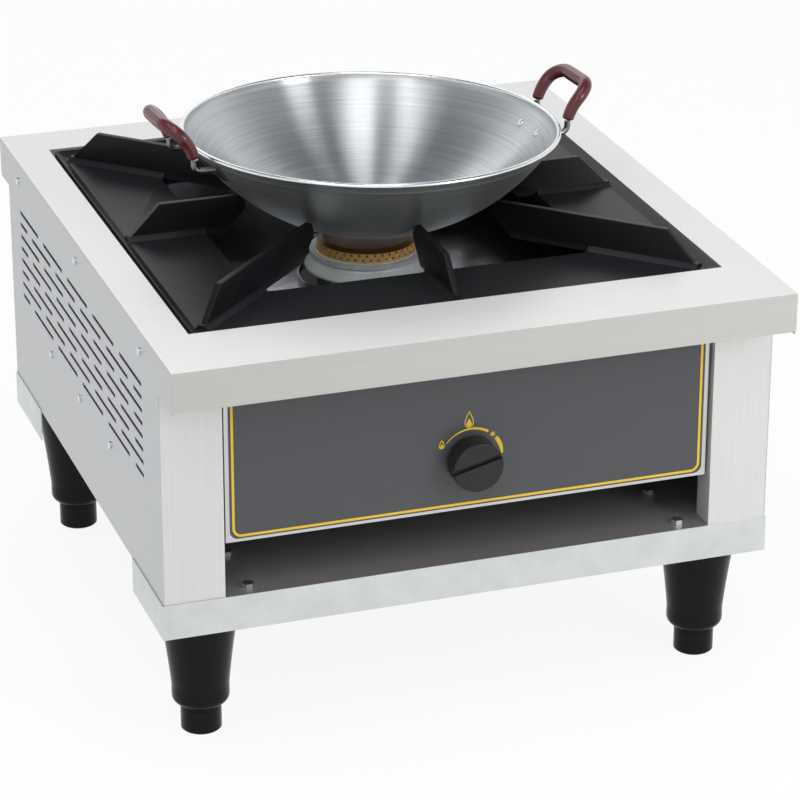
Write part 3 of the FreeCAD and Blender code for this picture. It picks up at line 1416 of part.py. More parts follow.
def make_handle_strap(name, turn):
    """A steel strap on the bowl's outside, with two arms out to the grip's ends."""
    body = new_body(f"{name}_handle_strap")
    near = wok_radius + strap_gap
    far = near + strap_thick
    high, low = wok_rise + strap_high, wok_rise + strap_low
    strip = new_sketch(body, "XZ_Plane")
    draw_path(strip, [
        (root(near * near - low * low), -low), (root(far * far - low * low), -low, far),
        (root(far * far - high * high), -high), (root(near * near - high * high), -high, -near),
    ])
    revolve(body, strip, strap_angle, symmetric=True)

    arm_height = wok_rise + arm_low
    root_x = root(far * far - arm_height * arm_height - grip_half * grip_half) - strap_thick / 2
    arm_end = -wok_rise - grip_low - arm_gap
    for half in (-grip_half, grip_half):
        bend_pipe(body, "XZ_Plane", half, [
            (root_x, -arm_height), (grip_out - arm_bend, -arm_height, arm_bend),
            (grip_out, arm_bend - arm_height), (grip_out, arm_end),
        ], "YZ_Plane", root_x, (-half, -arm_height), arm_radius)

    for half in (-rivet_half.number, rivet_half.number):
        hole = new_sketch(body, "XY_Plane")
        draw_circle(hole, 0, 0, rivet_shank + strap_gap)
        aim_at_rivet(hole, 0, half)
        pocket(body, hole, 8 * strap_thick, symmetric=True)
    place(body, support_side, support_middle, wok_centre, wok_rotation(turn))


def grip_line():
    """The middle line of a grip: a loop with two round corners, rolled onto an outward curve.

    Seen flat the loop has two legs and a level top. Its height along the lean becomes an arc
    that starts at the handle's lean and curves outward.
    """
    half, rise = grip_half.number, grip_rise.number
    bend, curve, lean = grip_bend.number, grip_curve.number, math.radians(grip_lean.number)
    leg = [(-half, share * (rise - bend)) for share in (0, 0.25, 0.5, 0.75)]
    corner = [(bend - half - bend * math.cos(angle), rise - bend + bend * math.sin(angle))
              for angle in (step * math.pi / 12 for step in range(7))]
    flat = leg + corner
    flat += [(0, rise)] + [(-across, up) for across, up in reversed(flat)]
    places = []
    for across, up in flat:
        angle = lean + up / curve
        out = grip_out.number + curve * (math.cos(lean) - math.cos(angle))
        low = (wok_rise + grip_low).number
        places.append(FreeCAD.Vector(out, across, curve * (math.sin(angle) - math.sin(lean)) - low))
    line = Part.BSplineCurve()
    line.interpolate(places)
    return line


def make_handle_grip(name, turn):
    """A round grip, thickest at its middle, carried along the loop."""
    line = grip_line()
    rings = []
    for share, radius in ((0, grip_radius), (0.5, grip_middle), (1, grip_radius)):
        spot = line.FirstParameter + share * (line.LastParameter - line.FirstParameter)
        circle = Part.Circle(line.value(spot), line.tangent(spot)[0], radius.number)
        rings.append(Part.Wire(circle.toShape()))
    grip = doc.addObject("Part::Feature", f"{name}_handle_grip")
    grip.Label = f"{name}_handle_grip"
    grip.Shape = Part.Wire(line.toShape()).makePipeShell(rings, True, False)
    place(grip, support_side, support_middle, wok_centre, wok_rotation(turn))


# The whole range -----------------------------------------------------------------------------

make_top_plate()
make_ledge_frame()
for side_name, side_sign in SIDES.items():
    make_side_panel(side_name, side_sign)
    make_side_screws(side_name, side_sign)
    make_front_post(side_name, side_sign)
make_rear_panel()
make_base_rail("front", cabinet_front, 1, cabinet_front + rail_return)
make_base_rail("rear", cabinet_rear, -1, cabinet_rear - rail_return)
make_shelf_plate()
make_leg_bolts()
for leg_name, (leg_across, leg_back) in LEGS.items():
    make_leg(leg_name, leg_across, leg_back)
    make_foot(leg_name, leg_across, leg_back)
make_control_panel()
make_panel_film()
make_knob()
make_tap_stem()
make_tap_plug()
make_gas_tap()
make_magnet_unit()
make_feed_pipe()
make_supply_pipe()
make_gas_inlet()
make_inlet_nut()
make_pipe_clips()
make_burner_shelf()
make_burner_casting()
make_burner_bolt()
make_burner_ring()
make_venturi()
make_injector()
make_injector_holder()
make_injector_bracket()
make_flame_bracket()
make_thermocouple()
make_electrode()
make_spill_tray()
make_pan_support()
make_wok_bowl()
make_wok_rivets()
for side_name, handle_turn in (("right", grip_turn.number), ("left", grip_turn.number + 180)):
    make_handle_strap(side_name, handle_turn)
    make_handle_grip(side_name, handle_turn)

doc.recompute()

sub_parts = [thing for thing in doc.Objects
             if thing.TypeId in ("PartDesign::Body", "Part::Feature")]
for thing in doc.Objects:
    faults = [word for word in thing.State if word in ("Invalid", "Error")]
    if faults:
        raise RuntimeError(f"{thing.Label} failed to compute: {faults}")
for sub_part in sub_parts:
    if sub_part.Shape.isNull() or not sub_part.Shape.isValid():
        raise RuntimeError(f"{sub_part.Label} has no valid shape")
for sub_part in sub_parts:
    sub_part.Shape.exportStep(f"parts/{sub_part.Label}.step")
    box = sub_part.Shape.BoundBox
    print(f"{sub_part.Label}: {len(sub_part.Shape.Solids)} solids, {sub_part.Shape.Volume:.0f} mm3,"
          f" x {box.XMin:.1f} {box.XMax:.1f}, y {box.YMin:.1f} {box.YMax:.1f},"
          f" z {box.ZMin:.1f} {box.ZMax:.1f}")
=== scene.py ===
import math

import bmesh
import bpy
import numpy as np
from mathutils import Matrix, Vector


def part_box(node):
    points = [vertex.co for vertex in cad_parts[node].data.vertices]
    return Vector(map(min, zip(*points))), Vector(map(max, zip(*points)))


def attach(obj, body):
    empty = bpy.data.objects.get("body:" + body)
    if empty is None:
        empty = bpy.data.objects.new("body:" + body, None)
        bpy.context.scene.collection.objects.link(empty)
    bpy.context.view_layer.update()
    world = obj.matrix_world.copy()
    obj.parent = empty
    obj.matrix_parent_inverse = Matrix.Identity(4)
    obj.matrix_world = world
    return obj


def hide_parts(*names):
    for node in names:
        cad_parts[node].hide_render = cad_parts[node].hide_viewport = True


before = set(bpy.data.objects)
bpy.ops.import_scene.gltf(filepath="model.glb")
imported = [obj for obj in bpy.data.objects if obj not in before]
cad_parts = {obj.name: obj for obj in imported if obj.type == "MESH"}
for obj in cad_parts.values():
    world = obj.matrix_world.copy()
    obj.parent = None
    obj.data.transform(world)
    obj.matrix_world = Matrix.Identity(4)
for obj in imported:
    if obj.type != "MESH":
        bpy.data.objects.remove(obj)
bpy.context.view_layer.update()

# The studio -----------------------------------------------------------------------------------
# A white sweep under and behind the range, soft light from a bright room, soft boxes in front,
# behind and at the right, and three ceiling strips that draw the bright fans in the wok.

scene = bpy.context.scene
scene.view_settings.view_transform = "Standard"

camera_place = Vector((-1.019776, -3.050434, 1.591369))
camera_turn, camera_dip, camera_roll = 0.330220, 0.406808, 0.001581
camera_data = bpy.data.cameras.new("camera")
camera_data.sensor_width = 36
camera_data.lens = 156.74
camera_data.clip_end = 100
camera = bpy.data.objects.new("camera", camera_data)
scene.collection.objects.link(camera)
looking = Vector((math.sin(camera_turn) * math.cos(camera_dip),
                  math.cos(camera_turn) * math.cos(camera_dip), -math.sin(camera_dip)))
camera.rotation_euler = (looking.to_track_quat("-Z", "Y").to_matrix().to_4x4()
                         @ Matrix.Rotation(camera_roll, 4, "Z")).to_euler()
camera.location = camera_place
scene.camera = camera


def new_paint(name):
    """An empty node material: returns it with its node tree and its surface shader."""
    paint = bpy.data.materials.new(name)
    paint.use_nodes = True
    return paint, paint.node_tree, paint.node_tree.nodes["Principled BSDF"]


def add_math(tree, operation, first, second):
    """A math node on an output and on a second output or number: returns its own output."""
    node = tree.nodes.new("ShaderNodeMath")
    node.operation = operation
    tree.links.new(first, node.inputs[0])
    if isinstance(second, float):
        node.inputs[1].default_value = second
    else:
        tree.links.new(second, node.inputs[1])
    return node.outputs[0]


def add_range(tree, source, taken=(0.0, 1.0), given=(0.0, 1.0), smooth=False):
    """An output's span taken, turned into the span given and held inside it."""
    node = tree.nodes.new("ShaderNodeMapRange")
    if smooth:
        node.interpolation_type = "SMOOTHSTEP"
    for end, value in zip(("From Min", "From Max", "To Min", "To Max"), (*taken, *given)):
        node.inputs[end].default_value = value
    tree.links.new(source, node.inputs["Value"])
    return node.outputs[0]


def upward_part(tree, vector):
    """The upward part of a vector output."""
    parts = tree.nodes.new("ShaderNodeSeparateXYZ")
    tree.links.new(vector, parts.inputs[0])
    return parts.outputs["Z"]


def mix_surfaces(tree, share, first, second):
    """The first surface where the share is 0, and the second where it is 1."""
    node = tree.nodes.new("ShaderNodeMixShader")
    for source, socket in zip((share, first, second), node.inputs):
        tree.links.new(source, socket)
    return node.outputs[0]


sweep_half, sweep_drop = 30.0, 0.0003
sweep_mesh = bpy.data.meshes.new("sweep")
sweep_mesh.from_pydata([(-sweep_half, -sweep_half, -sweep_drop), (sweep_half, -sweep_half, -sweep_drop),
                        (sweep_half, sweep_half, -sweep_drop), (-sweep_half, sweep_half, -sweep_drop)],
                       [], [(0, 1, 2, 3)])
sweep = bpy.data.objects.new("sweep", sweep_mesh)
scene.collection.objects.link(sweep)

# The sweep is grey card for the light that falls on things, and glows white for the camera, in
# a mirror and through glass.
sweep_paint, tree, shader = new_paint("sweep_paint")
shader.inputs["Base Color"].default_value = (0.84, 0.84, 0.84, 1)
shader.inputs["Roughness"].default_value = 0.9
shader.inputs["Specular IOR Level"].default_value = 0.0
white_glow = tree.nodes.new("ShaderNodeEmission")
white_glow.inputs["Color"].default_value = (1, 1, 1, 1)
white_glow.inputs["Strength"].default_value = 1.0
ray = tree.nodes.new("ShaderNodeLightPath").outputs
straight_or_mirrored = add_math(tree, "MAXIMUM", ray["Is Camera Ray"], ray["Is Glossy Ray"])
seen = add_math(tree, "MAXIMUM", straight_or_mirrored, ray["Is Transmission Ray"])
glow_share = add_math(tree, "MULTIPLY", seen, 0.9)
card = mix_surfaces(tree, glow_share, shader.outputs[0], white_glow.outputs[0])
tree.links.new(card, tree.nodes["Material Output"].inputs["Surface"])
sweep_mesh.materials.append(sweep_paint)

# The room lights things more from overhead, is darker overhead where metal mirrors it, and is
# an even light grey where the camera sees it.
room = bpy.data.worlds.new("room")
room.use_nodes = True
scene.world = room
tree = room.node_tree
rise = upward_part(tree, tree.nodes.new("ShaderNodeTexCoord").outputs["Generated"])
room_light = tree.nodes["Background"]
room_light.inputs["Color"].default_value = (1, 1, 1, 1)
tree.links.new(add_range(tree, rise, given=(0.46, 0.86)), room_light.inputs["Strength"])
ceiling = tree.nodes.new("ShaderNodeValToRGB")
ceiling.color_ramp.elements[0].position = 0.0
ceiling.color_ramp.elements[0].color = (1, 1, 1, 1)
ceiling.color_ramp.elements[1].position = 0.72
ceiling.color_ramp.elements[1].color = (0.17, 0.18, 0.20, 1)
halfway = ceiling.color_ramp.elements.new(0.46)
halfway.color = (0.90, 0.91, 0.92, 1)
tree.links.new(rise, ceiling.inputs[0])
mirrored_room = tree.nodes.new("ShaderNodeBackground")
mirrored_room.inputs["Strength"].default_value = 1.0
tree.links.new(ceiling.outputs[0], mirrored_room.inputs["Color"])
backdrop = tree.nodes.new("ShaderNodeBackground")
backdrop.inputs["Strength"].default_value = 1.0
ray = tree.nodes.new("ShaderNodeLightPath").outputs
lighting = mix_surfaces(tree, ray["Is Glossy Ray"], room_light.outputs[0], mirrored_room.outputs[0])
straight = add_math(tree, "MAXIMUM", ray["Is Camera Ray"], ray["Is Transmission Ray"])
surroundings = mix_surfaces(tree, straight, lighting, backdrop.outputs[0])
tree.links.new(surroundings, tree.nodes["World Output"].inputs["Surface"])


def soft_box(name, place, width, height, power, aim=None):
    """A large area lamp that faces aim, or one that hangs level and is turned with the camera."""
    lamp = bpy.data.lights.new(name, "AREA")
    lamp.shape = "RECTANGLE"
    lamp.size, lamp.size_y = width, height
    lamp.energy = power
    box = bpy.data.objects.new(name, lamp)
    scene.collection.objects.link(box)
    box.location = place
    if aim is None:
        box.rotation_euler = (0, 0, -camera_turn)
    else:
        box.rotation_euler = (Vector(aim) - Vector(place)).to_track_quat("-Z", "Y").to_euler()


soft_box("front_box", (-1.6, -2.4, 2.6), 1.6, 1.2, 14, (0, 0, 0.3))
soft_box("rear_box", (0.5, 2.6, 2.2), 2.4, 1.0, 10, (0, 0, 0.4))
soft_box("right_box", (1.0, -1.56, 0.9), 0.55, 0.7, 11, (0.3, -0.3, 0.3))
soft_box("ceiling_strip", (-0.058, -1.023, 2.6), 0.62, 2.1, 13)
soft_box("narrow_strip", (-1.004, -0.699, 2.6), 0.21, 2.1, 7)
soft_box("faint_strip", (-1.297, -0.598, 2.6), 0.30, 2.1, 3.5)

# The cabinet's sheet steel ----------------------------------------------------------------------
# Top plate, side panels, posts, rear and control panels, ledge frame and shelves: sheet with a
# fine straight brush grain, laser-cut, folded and screwed or spot-welded together.


def add_noise(tree, source, stretch, detail, roughness):
    """Noise on coordinates that are multiplied by stretch: returns an output from 0 to 1."""
    mapping = tree.nodes.new("ShaderNodeMapping")
    mapping.inputs["Scale"].default_value = stretch
    tree.links.new(source, mapping.inputs["Vector"])
    noise = tree.nodes.new("ShaderNodeTexNoise")
    noise.inputs["Scale"].default_value = 1.0
    noise.inputs["Detail"].default_value = detail
    noise.inputs["Roughness"].default_value = roughness
    tree.links.new(mapping.outputs[0], noise.inputs["Vector"])
    return noise.outputs["Fac"]


def add_tint(tree, shader, source, dark, light):
    """The colour is dark where the source is under 0.3 and light where it is over 0.7."""
    ramp = tree.nodes.new("ShaderNodeValToRGB")
    for element, position, colour in zip(ramp.color_ramp.elements, (0.3, 0.7), (dark, light)):
        element.position = position
        element.color = (*colour, 1)
    tree.links.new(source, ramp.inputs[0])
    tree.links.new(ramp.outputs[0], shader.inputs["Base Color"])


def add_relief(tree, shader, source, shine, spread, strength, lift):
    """The roughness is shine plus spread times the source, and the bump is lift metres high."""
    tree.links.new(add_range(tree, source, given=(shine, shine + spread)), shader.inputs["Roughness"])
    bump = tree.nodes.new("ShaderNodeBump")
    bump.inputs["Strength"].default_value = strength
    bump.inputs["Distance"].default_value = lift
    tree.links.new(source, bump.inputs["Height"])
    tree.links.new(bump.outputs[0], shader.inputs["Normal"])


def grained_paint(name, dark, light, stretch, shine, spread, strength, lift, metal=0.0, gloss=0.5):
    """A paint with one noise in its colour, its roughness and its relief.

    The noise is taken at Object coordinates times stretch: small along a brush grain and large
    across it, or one number for an even mottle. metal is how much of it is bare metal, and
    gloss how strongly the rest mirrors.
    """
    if not isinstance(stretch, tuple):
        stretch = (stretch, stretch, stretch)
    paint, tree, shader = new_paint(name)
    shader.inputs["Metallic"].default_value = metal
    shader.inputs["Specular IOR Level"].default_value = gloss
    place = tree.nodes.new("ShaderNodeTexCoord").outputs["Object"]
    grain = add_noise(tree, place, stretch, 6.0, 0.65)
    add_relief(tree, shader, grain, shine, spread, strength, lift)
    add_tint(tree, shader, grain, dark, light)
    return paint


def blend_colour(paint, share, colours, way="MIX"):
    """The base colour goes from the first colour to the second as the share goes from 0 to 1.

    None stands for the colour that the paint has already, and way is the kind of blend.
    """
    tree = paint.node_tree
    base = tree.nodes["Principled BSDF"].inputs["Base Color"]
    own = base.links[0].from_socket
    blend = tree.nodes.new("ShaderNodeMix")
    blend.data_type = "RGBA"
    blend.blend_type = way
    tree.links.new(share, blend.inputs["Factor"])
    for side, colour in zip(("A", "B"), colours):
        if colour is None:
            tree.links.new(own, blend.inputs[side])
        else:
            blend.inputs[side].default_value = (*colour, 1)
    tree.links.new(blend.outputs["Result"], base)


def brushed_sheet(name, colour, stretch, shine=0.3, metal=0.85, upright_shade=None):
    """Stainless sheet: its own grey, a shade darker where the grain bites, soft reflections.

    Where the last argument is given, the colour of faces that stand on end is multiplied by it, as
    painted shade.
    """
    dark = tuple(0.95 * part for part in colour)
    light = tuple(1.03 * part for part in colour)
    paint = grained_paint(name, dark, light, stretch, shine, 0.16, 0.35, 0.00004, metal)
    # Painted shade: faces that stand on end take the multiplied, darker colour.
    if upright_shade is not None:
        tree = paint.node_tree
        facing = upward_part(tree, tree.nodes.new("ShaderNodeNewGeometry").outputs["Normal"])
        painted_shade_share = add_range(tree, facing, (0.3, 0.9), (1.0, 0.0))
        blend_colour(paint, painted_shade_share, (None, upright_shade), "MULTIPLY")
    return paint


def finish_nodes(paint, *names):
    """Puts one material on every slot of these CAD nodes."""
    for name in names:
        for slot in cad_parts[name].material_slots:
            slot.material = paint


along_x, along_y, along_z = (6, 900, 900), (900, 6, 900), (900, 900, 6)
# The top sheet's last colour is painted shade, multiplied into its front skirt and other faces that
# stand on end.
finish_nodes(brushed_sheet("top_sheet", (0.71, 0.71, 0.71), along_x, 0.40, 0.38,
                           (0.68, 0.67, 0.645)), "top_plate")
finish_nodes(brushed_sheet("side_sheet", (0.52, 0.535, 0.55), along_y, 0.34),
             "left_side_panel", "right_side_panel")
finish_nodes(brushed_sheet("post_sheet", (0.65, 0.645, 0.635), along_z, 0.34, 0.45),
             "front_left_post", "front_right_post")
finish_nodes(brushed_sheet("panel_sheet", (0.60, 0.60, 0.59), along_x),
             "control_panel", "rear_panel", "ledge_frame")
finish_nodes(brushed_sheet("shelf_sheet", (0.22, 0.207, 0.215), along_x, 0.26, 0.25),
             "shelf_plate", "burner_shelf")

# Base rails -------------------------------------------------------------------------------------
# Front and rear rails that wrap round the corners of the base: zinc-coated sheet, duller and
# a little blotchy.

rail_paint, tree, shader = new_paint("zinc_coated_sheet")
shader.inputs["Metallic"].default_value = 1.0
place = tree.nodes.new("ShaderNodeTexCoord").outputs["Object"]
grain = add_noise(tree, place, (30, 260, 260), 6.0, 0.65)
add_relief(tree, shader, grain, 0.38, 0.14, 0.25, 0.00005)
blotches = add_noise(tree, place, (42, 42, 42), 3.0, 0.5)
add_tint(tree, shader, blotches, (0.605, 0.635, 0.63), (0.675, 0.70, 0.695))
finish_nodes(rail_paint, "front_base_rail", "rear_base_rail")

# Screws, bolts and the burner's small steel parts -------------------------------------------------
# Zinc-plated fasteners, steel brackets, and the pipes, nuts and brass fittings behind the panel.


def plain_metal(name, dark, light, shine, spread):
    """Metal with a fine even mottle in its colour and its shine."""
    return grained_paint(name, dark, light, 300, shine, spread, 0.2, 0.00004, metal=1.0)


finish_nodes(plain_metal("zinc_plate", (0.62, 0.63, 0.64), (0.80, 0.81, 0.82), 0.25, 0.15),
             "left_side_screws", "right_side_screws", "leg_bolts", "burner_bolt")
finish_nodes(plain_metal("bracket_steel", (0.45, 0.45, 0.45), (0.58, 0.58, 0.57), 0.3, 0.2),
             "flame_bracket", "injector_bracket", "pipe_clips", "feed_pipe", "supply_pipe",
             "magnet_unit", "thermocouple")
finish_nodes(plain_metal("turned_brass", (0.58, 0.40, 0.15), (0.72, 0.52, 0.22), 0.24, 0.14),
             "gas_tap", "tap_plug", "tap_stem", "gas_inlet", "inlet_nut", "injector",
             "injector_holder")
finish_nodes(grained_paint("white_ceramic", (0.74, 0.72, 0.68), (0.82, 0.81, 0.78), 200,
                           0.18, 0.10, 0.10, 0.00002, gloss=0.6), "ignition_electrode")

# Legs and feet ------------------------------------------------------------------------------------
# Four turned legs, black moulded plastic with a soft shine, and their screw-down feet.

leg_paint = grained_paint("black_moulding", (0.0045, 0.004, 0.0045), (0.008, 0.007, 0.008), 700,
                          0.18, 0.12, 0.25, 0.00005, gloss=0.12)
for corner in ("front_left", "front_right", "rear_left", "rear_right"):
    finish_nodes(leg_paint, f"{corner}_leg", f"{corner}_foot")

# Control panel's printed film -----------------------------------------------------------------------
# A dark grey polyester film stuck on the control panel, with a yellow line printed near its
# edge and yellow dial marks round the knob.

finish_nodes(grained_paint("grey_film", (0.053, 0.056, 0.062), (0.065, 0.069, 0.075), 1500,
                           0.30, 0.10, 0.12, 0.00003, gloss=0.45), "panel_film")
yellow_ink = grained_paint("yellow_ink", (0.66, 0.43, 0.018), (0.76, 0.52, 0.03), 1800,
                           0.36, 0.10, 0.10, 0.00002, gloss=0.4)
film_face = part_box("panel_film")[0].y
ink_thick, ink_sunk = 0.00006, 0.00002
line_half, line_low, line_high, line_bend, line_wide = 0.2305, 0.2153, 0.3775, 0.008, 0.0024
knob_z, dial_r = 0.260, 0.0308
arc_width = np.linspace(0.0007, 0.0027, 60)
bar_width = 0.0014 + 0.0026 * np.sin(np.linspace(0.9, 3.0, 30))
star_turn, star_reach, star_points = 47, 0.0036, 6
flame_line, core_lift, core_wide, core_tall = 0.0008, 0.04, 0.62, 0.52


def new_piece(name, points, faces, paint, smooth=True, uv=None):
    """A mesh object with one material, from an array of points and a list of faces."""
    mesh = bpy.data.meshes.new(name)
    mesh.from_pydata(points.reshape(-1, 3).tolist(), [], faces)
    mesh.materials.append(paint)
    mesh.polygons.foreach_set("use_smooth", np.full(len(mesh.polygons), smooth))
    if uv is not None:
        layer = mesh.uv_layers.new(name="around_and_out")
        corners = np.empty(len(mesh.loops), dtype=np.int64)
        mesh.loops.foreach_get("vertex_index", corners)
        layer.data.foreach_set("uv", uv.reshape(-1, 2)[corners].ravel())
    piece = bpy.data.objects.new(name, mesh)
    scene.collection.objects.link(piece)
    return piece


def set_outward(piece):
    """Joins the points that lie on each other and turns every face of the closed piece outwards."""
    shape = bmesh.new()
    shape.from_mesh(piece.data)
    bmesh.ops.remove_doubles(shape, verts=shape.verts, dist=1e-6)
    bmesh.ops.recalc_face_normals(shape, faces=shape.faces)
    shape.to_mesh(piece.data)
    shape.free()
    return piece


def grid_faces(rows, columns, wrap_rows=False, wrap_columns=False):
    """A list of the quads between neighbouring points of a grid, numbered row by row."""
    down = np.arange(rows if wrap_rows else rows - 1)
    along = np.arange(columns if wrap_columns else columns - 1)
    row, column = (part.ravel() for part in np.meshgrid(down, along, indexing="ij"))
    next_row, next_column = (row + 1) % rows, (column + 1) % columns
    return np.stack([row * columns + column, row * columns + next_column,
                     next_row * columns + next_column, next_row * columns + column],
                    axis=1).tolist()


def printed_band(name, middle, width, closed=False):
    """A line of ink: a thin box section carried along a path on the film.

    middle holds the path's points across and up, and width the line's width at each. The
    section's four corners are the path plus or minus half the width along the path's normal,
    once an ink's thickness in front of the film and once sunk a little into it.
    """
    step = (np.roll(middle, -1, 0) - np.roll(middle, 1, 0) if closed
            else np.gradient(middle, axis=0))
    step /= np.linalg.norm(step, axis=1, keepdims=True)
    normal = np.stack([-step[:, 1], step[:, 0]], axis=1)
    half = normal * np.reshape(width, (-1, 1)) / 2
    edges = np.stack([middle - half, middle + half, middle + half, middle - half], axis=1)
    rows = len(middle)
    points = np.empty((rows, 4, 3))
    points[..., 0], points[..., 2] = edges[..., 0], edges[..., 1]
    points[..., 1] = film_face + np.array([-ink_thick, -ink_thick, ink_sunk, ink_sunk])
    faces = grid_faces(rows, 4, wrap_rows=closed, wrap_columns=True)
    if not closed:
        last = 4 * rows - 4
        faces += [[0, 1, 2, 3], [last + 3, last + 2, last + 1, last]]
    return set_outward(new_piece(name, points, faces, yellow_ink, smooth=False))


def printed_patch(name, outline):
    """A filled mark, closed in front of the film and behind it.

    Its four rings of points are the outline drawn in to its middle, the outline itself, and the
    same two behind.
    """
    points = np.empty((4, len(outline), 3))
    centre = outline.mean(0)
    rings = ((0.0, -ink_thick), (1.0, -ink_thick), (1.0, ink_sunk), (0.0, ink_sunk))
    for ring, (reach, depth) in zip(points, rings):
        ring[:, [0, 2]] = centre + (outline - centre) * reach
        ring[:, 1] = film_face + depth
    faces = grid_faces(4, len(outline), wrap_columns=True)
    return set_outward(new_piece(name, points, faces, yellow_ink, smooth=False))


def dial_path(start, end, count):
    """Points across and up on the dial's circle, from one angle to the other in degrees."""
    angle = np.radians(np.linspace(start, end, count))
    return np.stack([dial_r * np.cos(angle), knob_z + dial_r * np.sin(angle)], 1)


def star_outline(middle, reach, points):
    """The radius swings between reach and a third of it as the angle goes round from the top."""
    angle = np.linspace(0, 2 * math.pi, 2 * points, endpoint=False) + math.pi / 2
    radius = np.where(np.arange(2 * points) % 2 == 0, reach, reach / 3)
    return middle + radius[:, None] * np.stack([np.cos(angle), np.sin(angle)], 1)


def flame_outline(foot, wide, tall, count=48):
    """A drop with its point up, as t goes from 0 to 2 pi.

    Across it is 1.25 wide / 2 sin(t) |sin(t / 2)|^1.4, and up from its foot tall / 2 (1 + cos(t)).
    """
    angle = np.linspace(0, 2 * math.pi, count, endpoint=False)
    across = 0.5 * wide * np.sin(angle) * np.abs(np.sin(angle / 2)) ** 1.4 * 1.25
    up = 0.5 * tall * (1 + np.cos(angle))
    return np.asarray(foot) + np.stack([across, up], 1)


turn = np.linspace(math.pi / 2, 0, 13)
corner = np.stack([line_half - line_bend + line_bend * np.cos(turn),
                   line_low + line_bend - line_bend * np.sin(turn)], 1)
right_half = np.concatenate([[[line_half, line_high]], corner[::-1]])
border = np.concatenate([right_half, (right_half * [-1, 1])[::-1]])
marks = [printed_band("border_line", border, np.full(len(border), line_wide)),
         printed_band("dial_arc", dial_path(142, 57, len(arc_width)), arc_width),
         printed_band("dial_bar", dial_path(38, 4, len(bar_width)), bar_width),
         printed_patch("dial_star", star_outline(dial_path(star_turn, star_turn, 1)[0],
                                                 star_reach, star_points))]
for size_name, foot, wide, tall in (("small", (-0.0290, knob_z + 0.0145), 0.0055, 0.0085),
                                    ("large", (-0.0022, knob_z + 0.0325), 0.0092, 0.0160)):
    outline = flame_outline(foot, wide, tall)
    core = flame_outline((foot[0], foot[1] + core_lift * tall), core_wide * wide,
                         core_tall * tall)
    marks.append(printed_band(f"{size_name}_flame", outline, np.full(len(outline), flame_line),
                              closed=True))
    marks.append(printed_patch(f"{size_name}_flame_core", core))
for mark in marks:
    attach(mark, "cabinet")

# Knob -----------------------------------------------------------------------------------------------
# Satin black moulded knob with a straight grip groove, pushed on the stem of the gas tap.

finish_nodes(grained_paint("satin_black", (0.011, 0.011, 0.012), (0.020, 0.020, 0.021), 900,
                           0.36, 0.16, 0.30, 0.00004, gloss=0.3), "knob")

# Burner ---------------------------------------------------------------------------------------------
# Grey cast casting and venturi, the casting's sloping skirt, and a turned brass ring with two
# rows of flame ports, browned by the heat along its top edge.

casting_paint = grained_paint("grey_casting", (0.46, 0.50, 0.50), (0.61, 0.65, 0.64), 420,
                              0.36, 0.20, 0.50, 0.00012, metal=0.25)
finish_nodes(casting_paint, "burner_casting", "venturi")

ring_low, ring_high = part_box("burner_ring")
head_middle = np.array([(ring_low.x + ring_high.x) / 2, (ring_low.y + ring_high.y) / 2,
                        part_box("burner_casting")[1].z])
skirt_profile = np.array([
    (0.0499, -0.0006), (0.0499, 0.0008), (0.0506, 0.0012), (0.0514, 0.0007), (0.0538, -0.0066),
    (0.0546, -0.0078), (0.0612, -0.0150), (0.0621, -0.0165), (0.0618, -0.0180), (0.0604, -0.0184),
    (0.0575, -0.0160), (0.0568, -0.0110), (0.0530, -0.0050), (0.0499, -0.0006)])
probe_reach, flat_start, flat_span = 0.0565, 0.80, 0.12
scorch_deep, scorch_full = 0.0034, 0.0026


def turned_piece(name, profile, middle, tilt, paint, around):
    """A profile of radius and height turned about an axis through middle, then tilted.

    Point (i, j) is (radius j cos angle i, radius j sin angle i, height j), turned by the tilt
    and moved to middle. The map's first part is the angle and its second the way along the
    profile. The seam's column is laid twice, so that the map doesn't run back on itself, and
    set_outward joins it later, with the poles.
    """
    angle = np.linspace(0, 2 * math.pi, around + 1)
    radius, height = profile[:, 0], profile[:, 1]
    points = np.stack([np.outer(np.cos(angle), radius), np.outer(np.sin(angle), radius),
                       np.broadcast_to(height, (around + 1, len(profile)))], axis=2)
    steps = np.linalg.norm(np.diff(profile, axis=0), axis=1)
    out = np.concatenate([[0], np.cumsum(steps)])
    uv = np.stack(np.broadcast_arrays(angle[:, None] / (2 * math.pi), out[None, :]), axis=2)
    return new_piece(name, points.reshape(-1, 3) @ tilt.T + middle,
                     grid_faces(around + 1, len(profile)), paint, uv=uv)


# Behind the ring, where y / radius passes flat_start, the skirt's radius is drawn in to
# probe_reach over the next flat_span, so that the probes stand clear of it.
skirt = turned_piece("burner_skirt", skirt_profile, head_middle, np.eye(3), casting_paint, 180)
points = np.empty(3 * len(skirt.data.vertices))
skirt.data.vertices.foreach_get("co", points)
points = points.reshape(-1, 3) - head_middle
radius = np.hypot(points[:, 0], points[:, 1])
behind = np.clip((points[:, 1] / radius - flat_start) / flat_span, 0, 1)
kept = 1 + behind * (np.minimum(1, probe_reach / radius) - 1)
points[:, :2] *= kept[:, None]
skirt.data.vertices.foreach_set("co", (points + head_middle).ravel())
set_outward(skirt)
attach(skirt, "cabinet")

ring_paint = grained_paint("turned_ring_brass", (0.52, 0.30, 0.10), (0.84, 0.56, 0.24),
                           (160, 160, 900), 0.28, 0.18, 0.30, 0.00006, metal=0.4, gloss=0.15)
tree = ring_paint.node_tree
height = upward_part(tree, tree.nodes.new("ShaderNodeTexCoord").outputs["Object"])
scorched = add_range(tree, height, (ring_high.z - scorch_deep, ring_high.z - scorch_full),
                     smooth=True)
blend_colour(ring_paint, scorched, (None, (0.120, 0.052, 0.016)))
finish_nodes(ring_paint, "burner_ring")

# Spill tray -----------------------------------------------------------------------------------------
# A bright pressed tray under the pan support that catches what boils over.

finish_nodes(grained_paint("bright_tray", (0.34, 0.35, 0.38), (0.52, 0.53, 0.56), 24,
                           0.12, 0.14, 0.40, 0.0006, metal=1.0), "spill_tray")
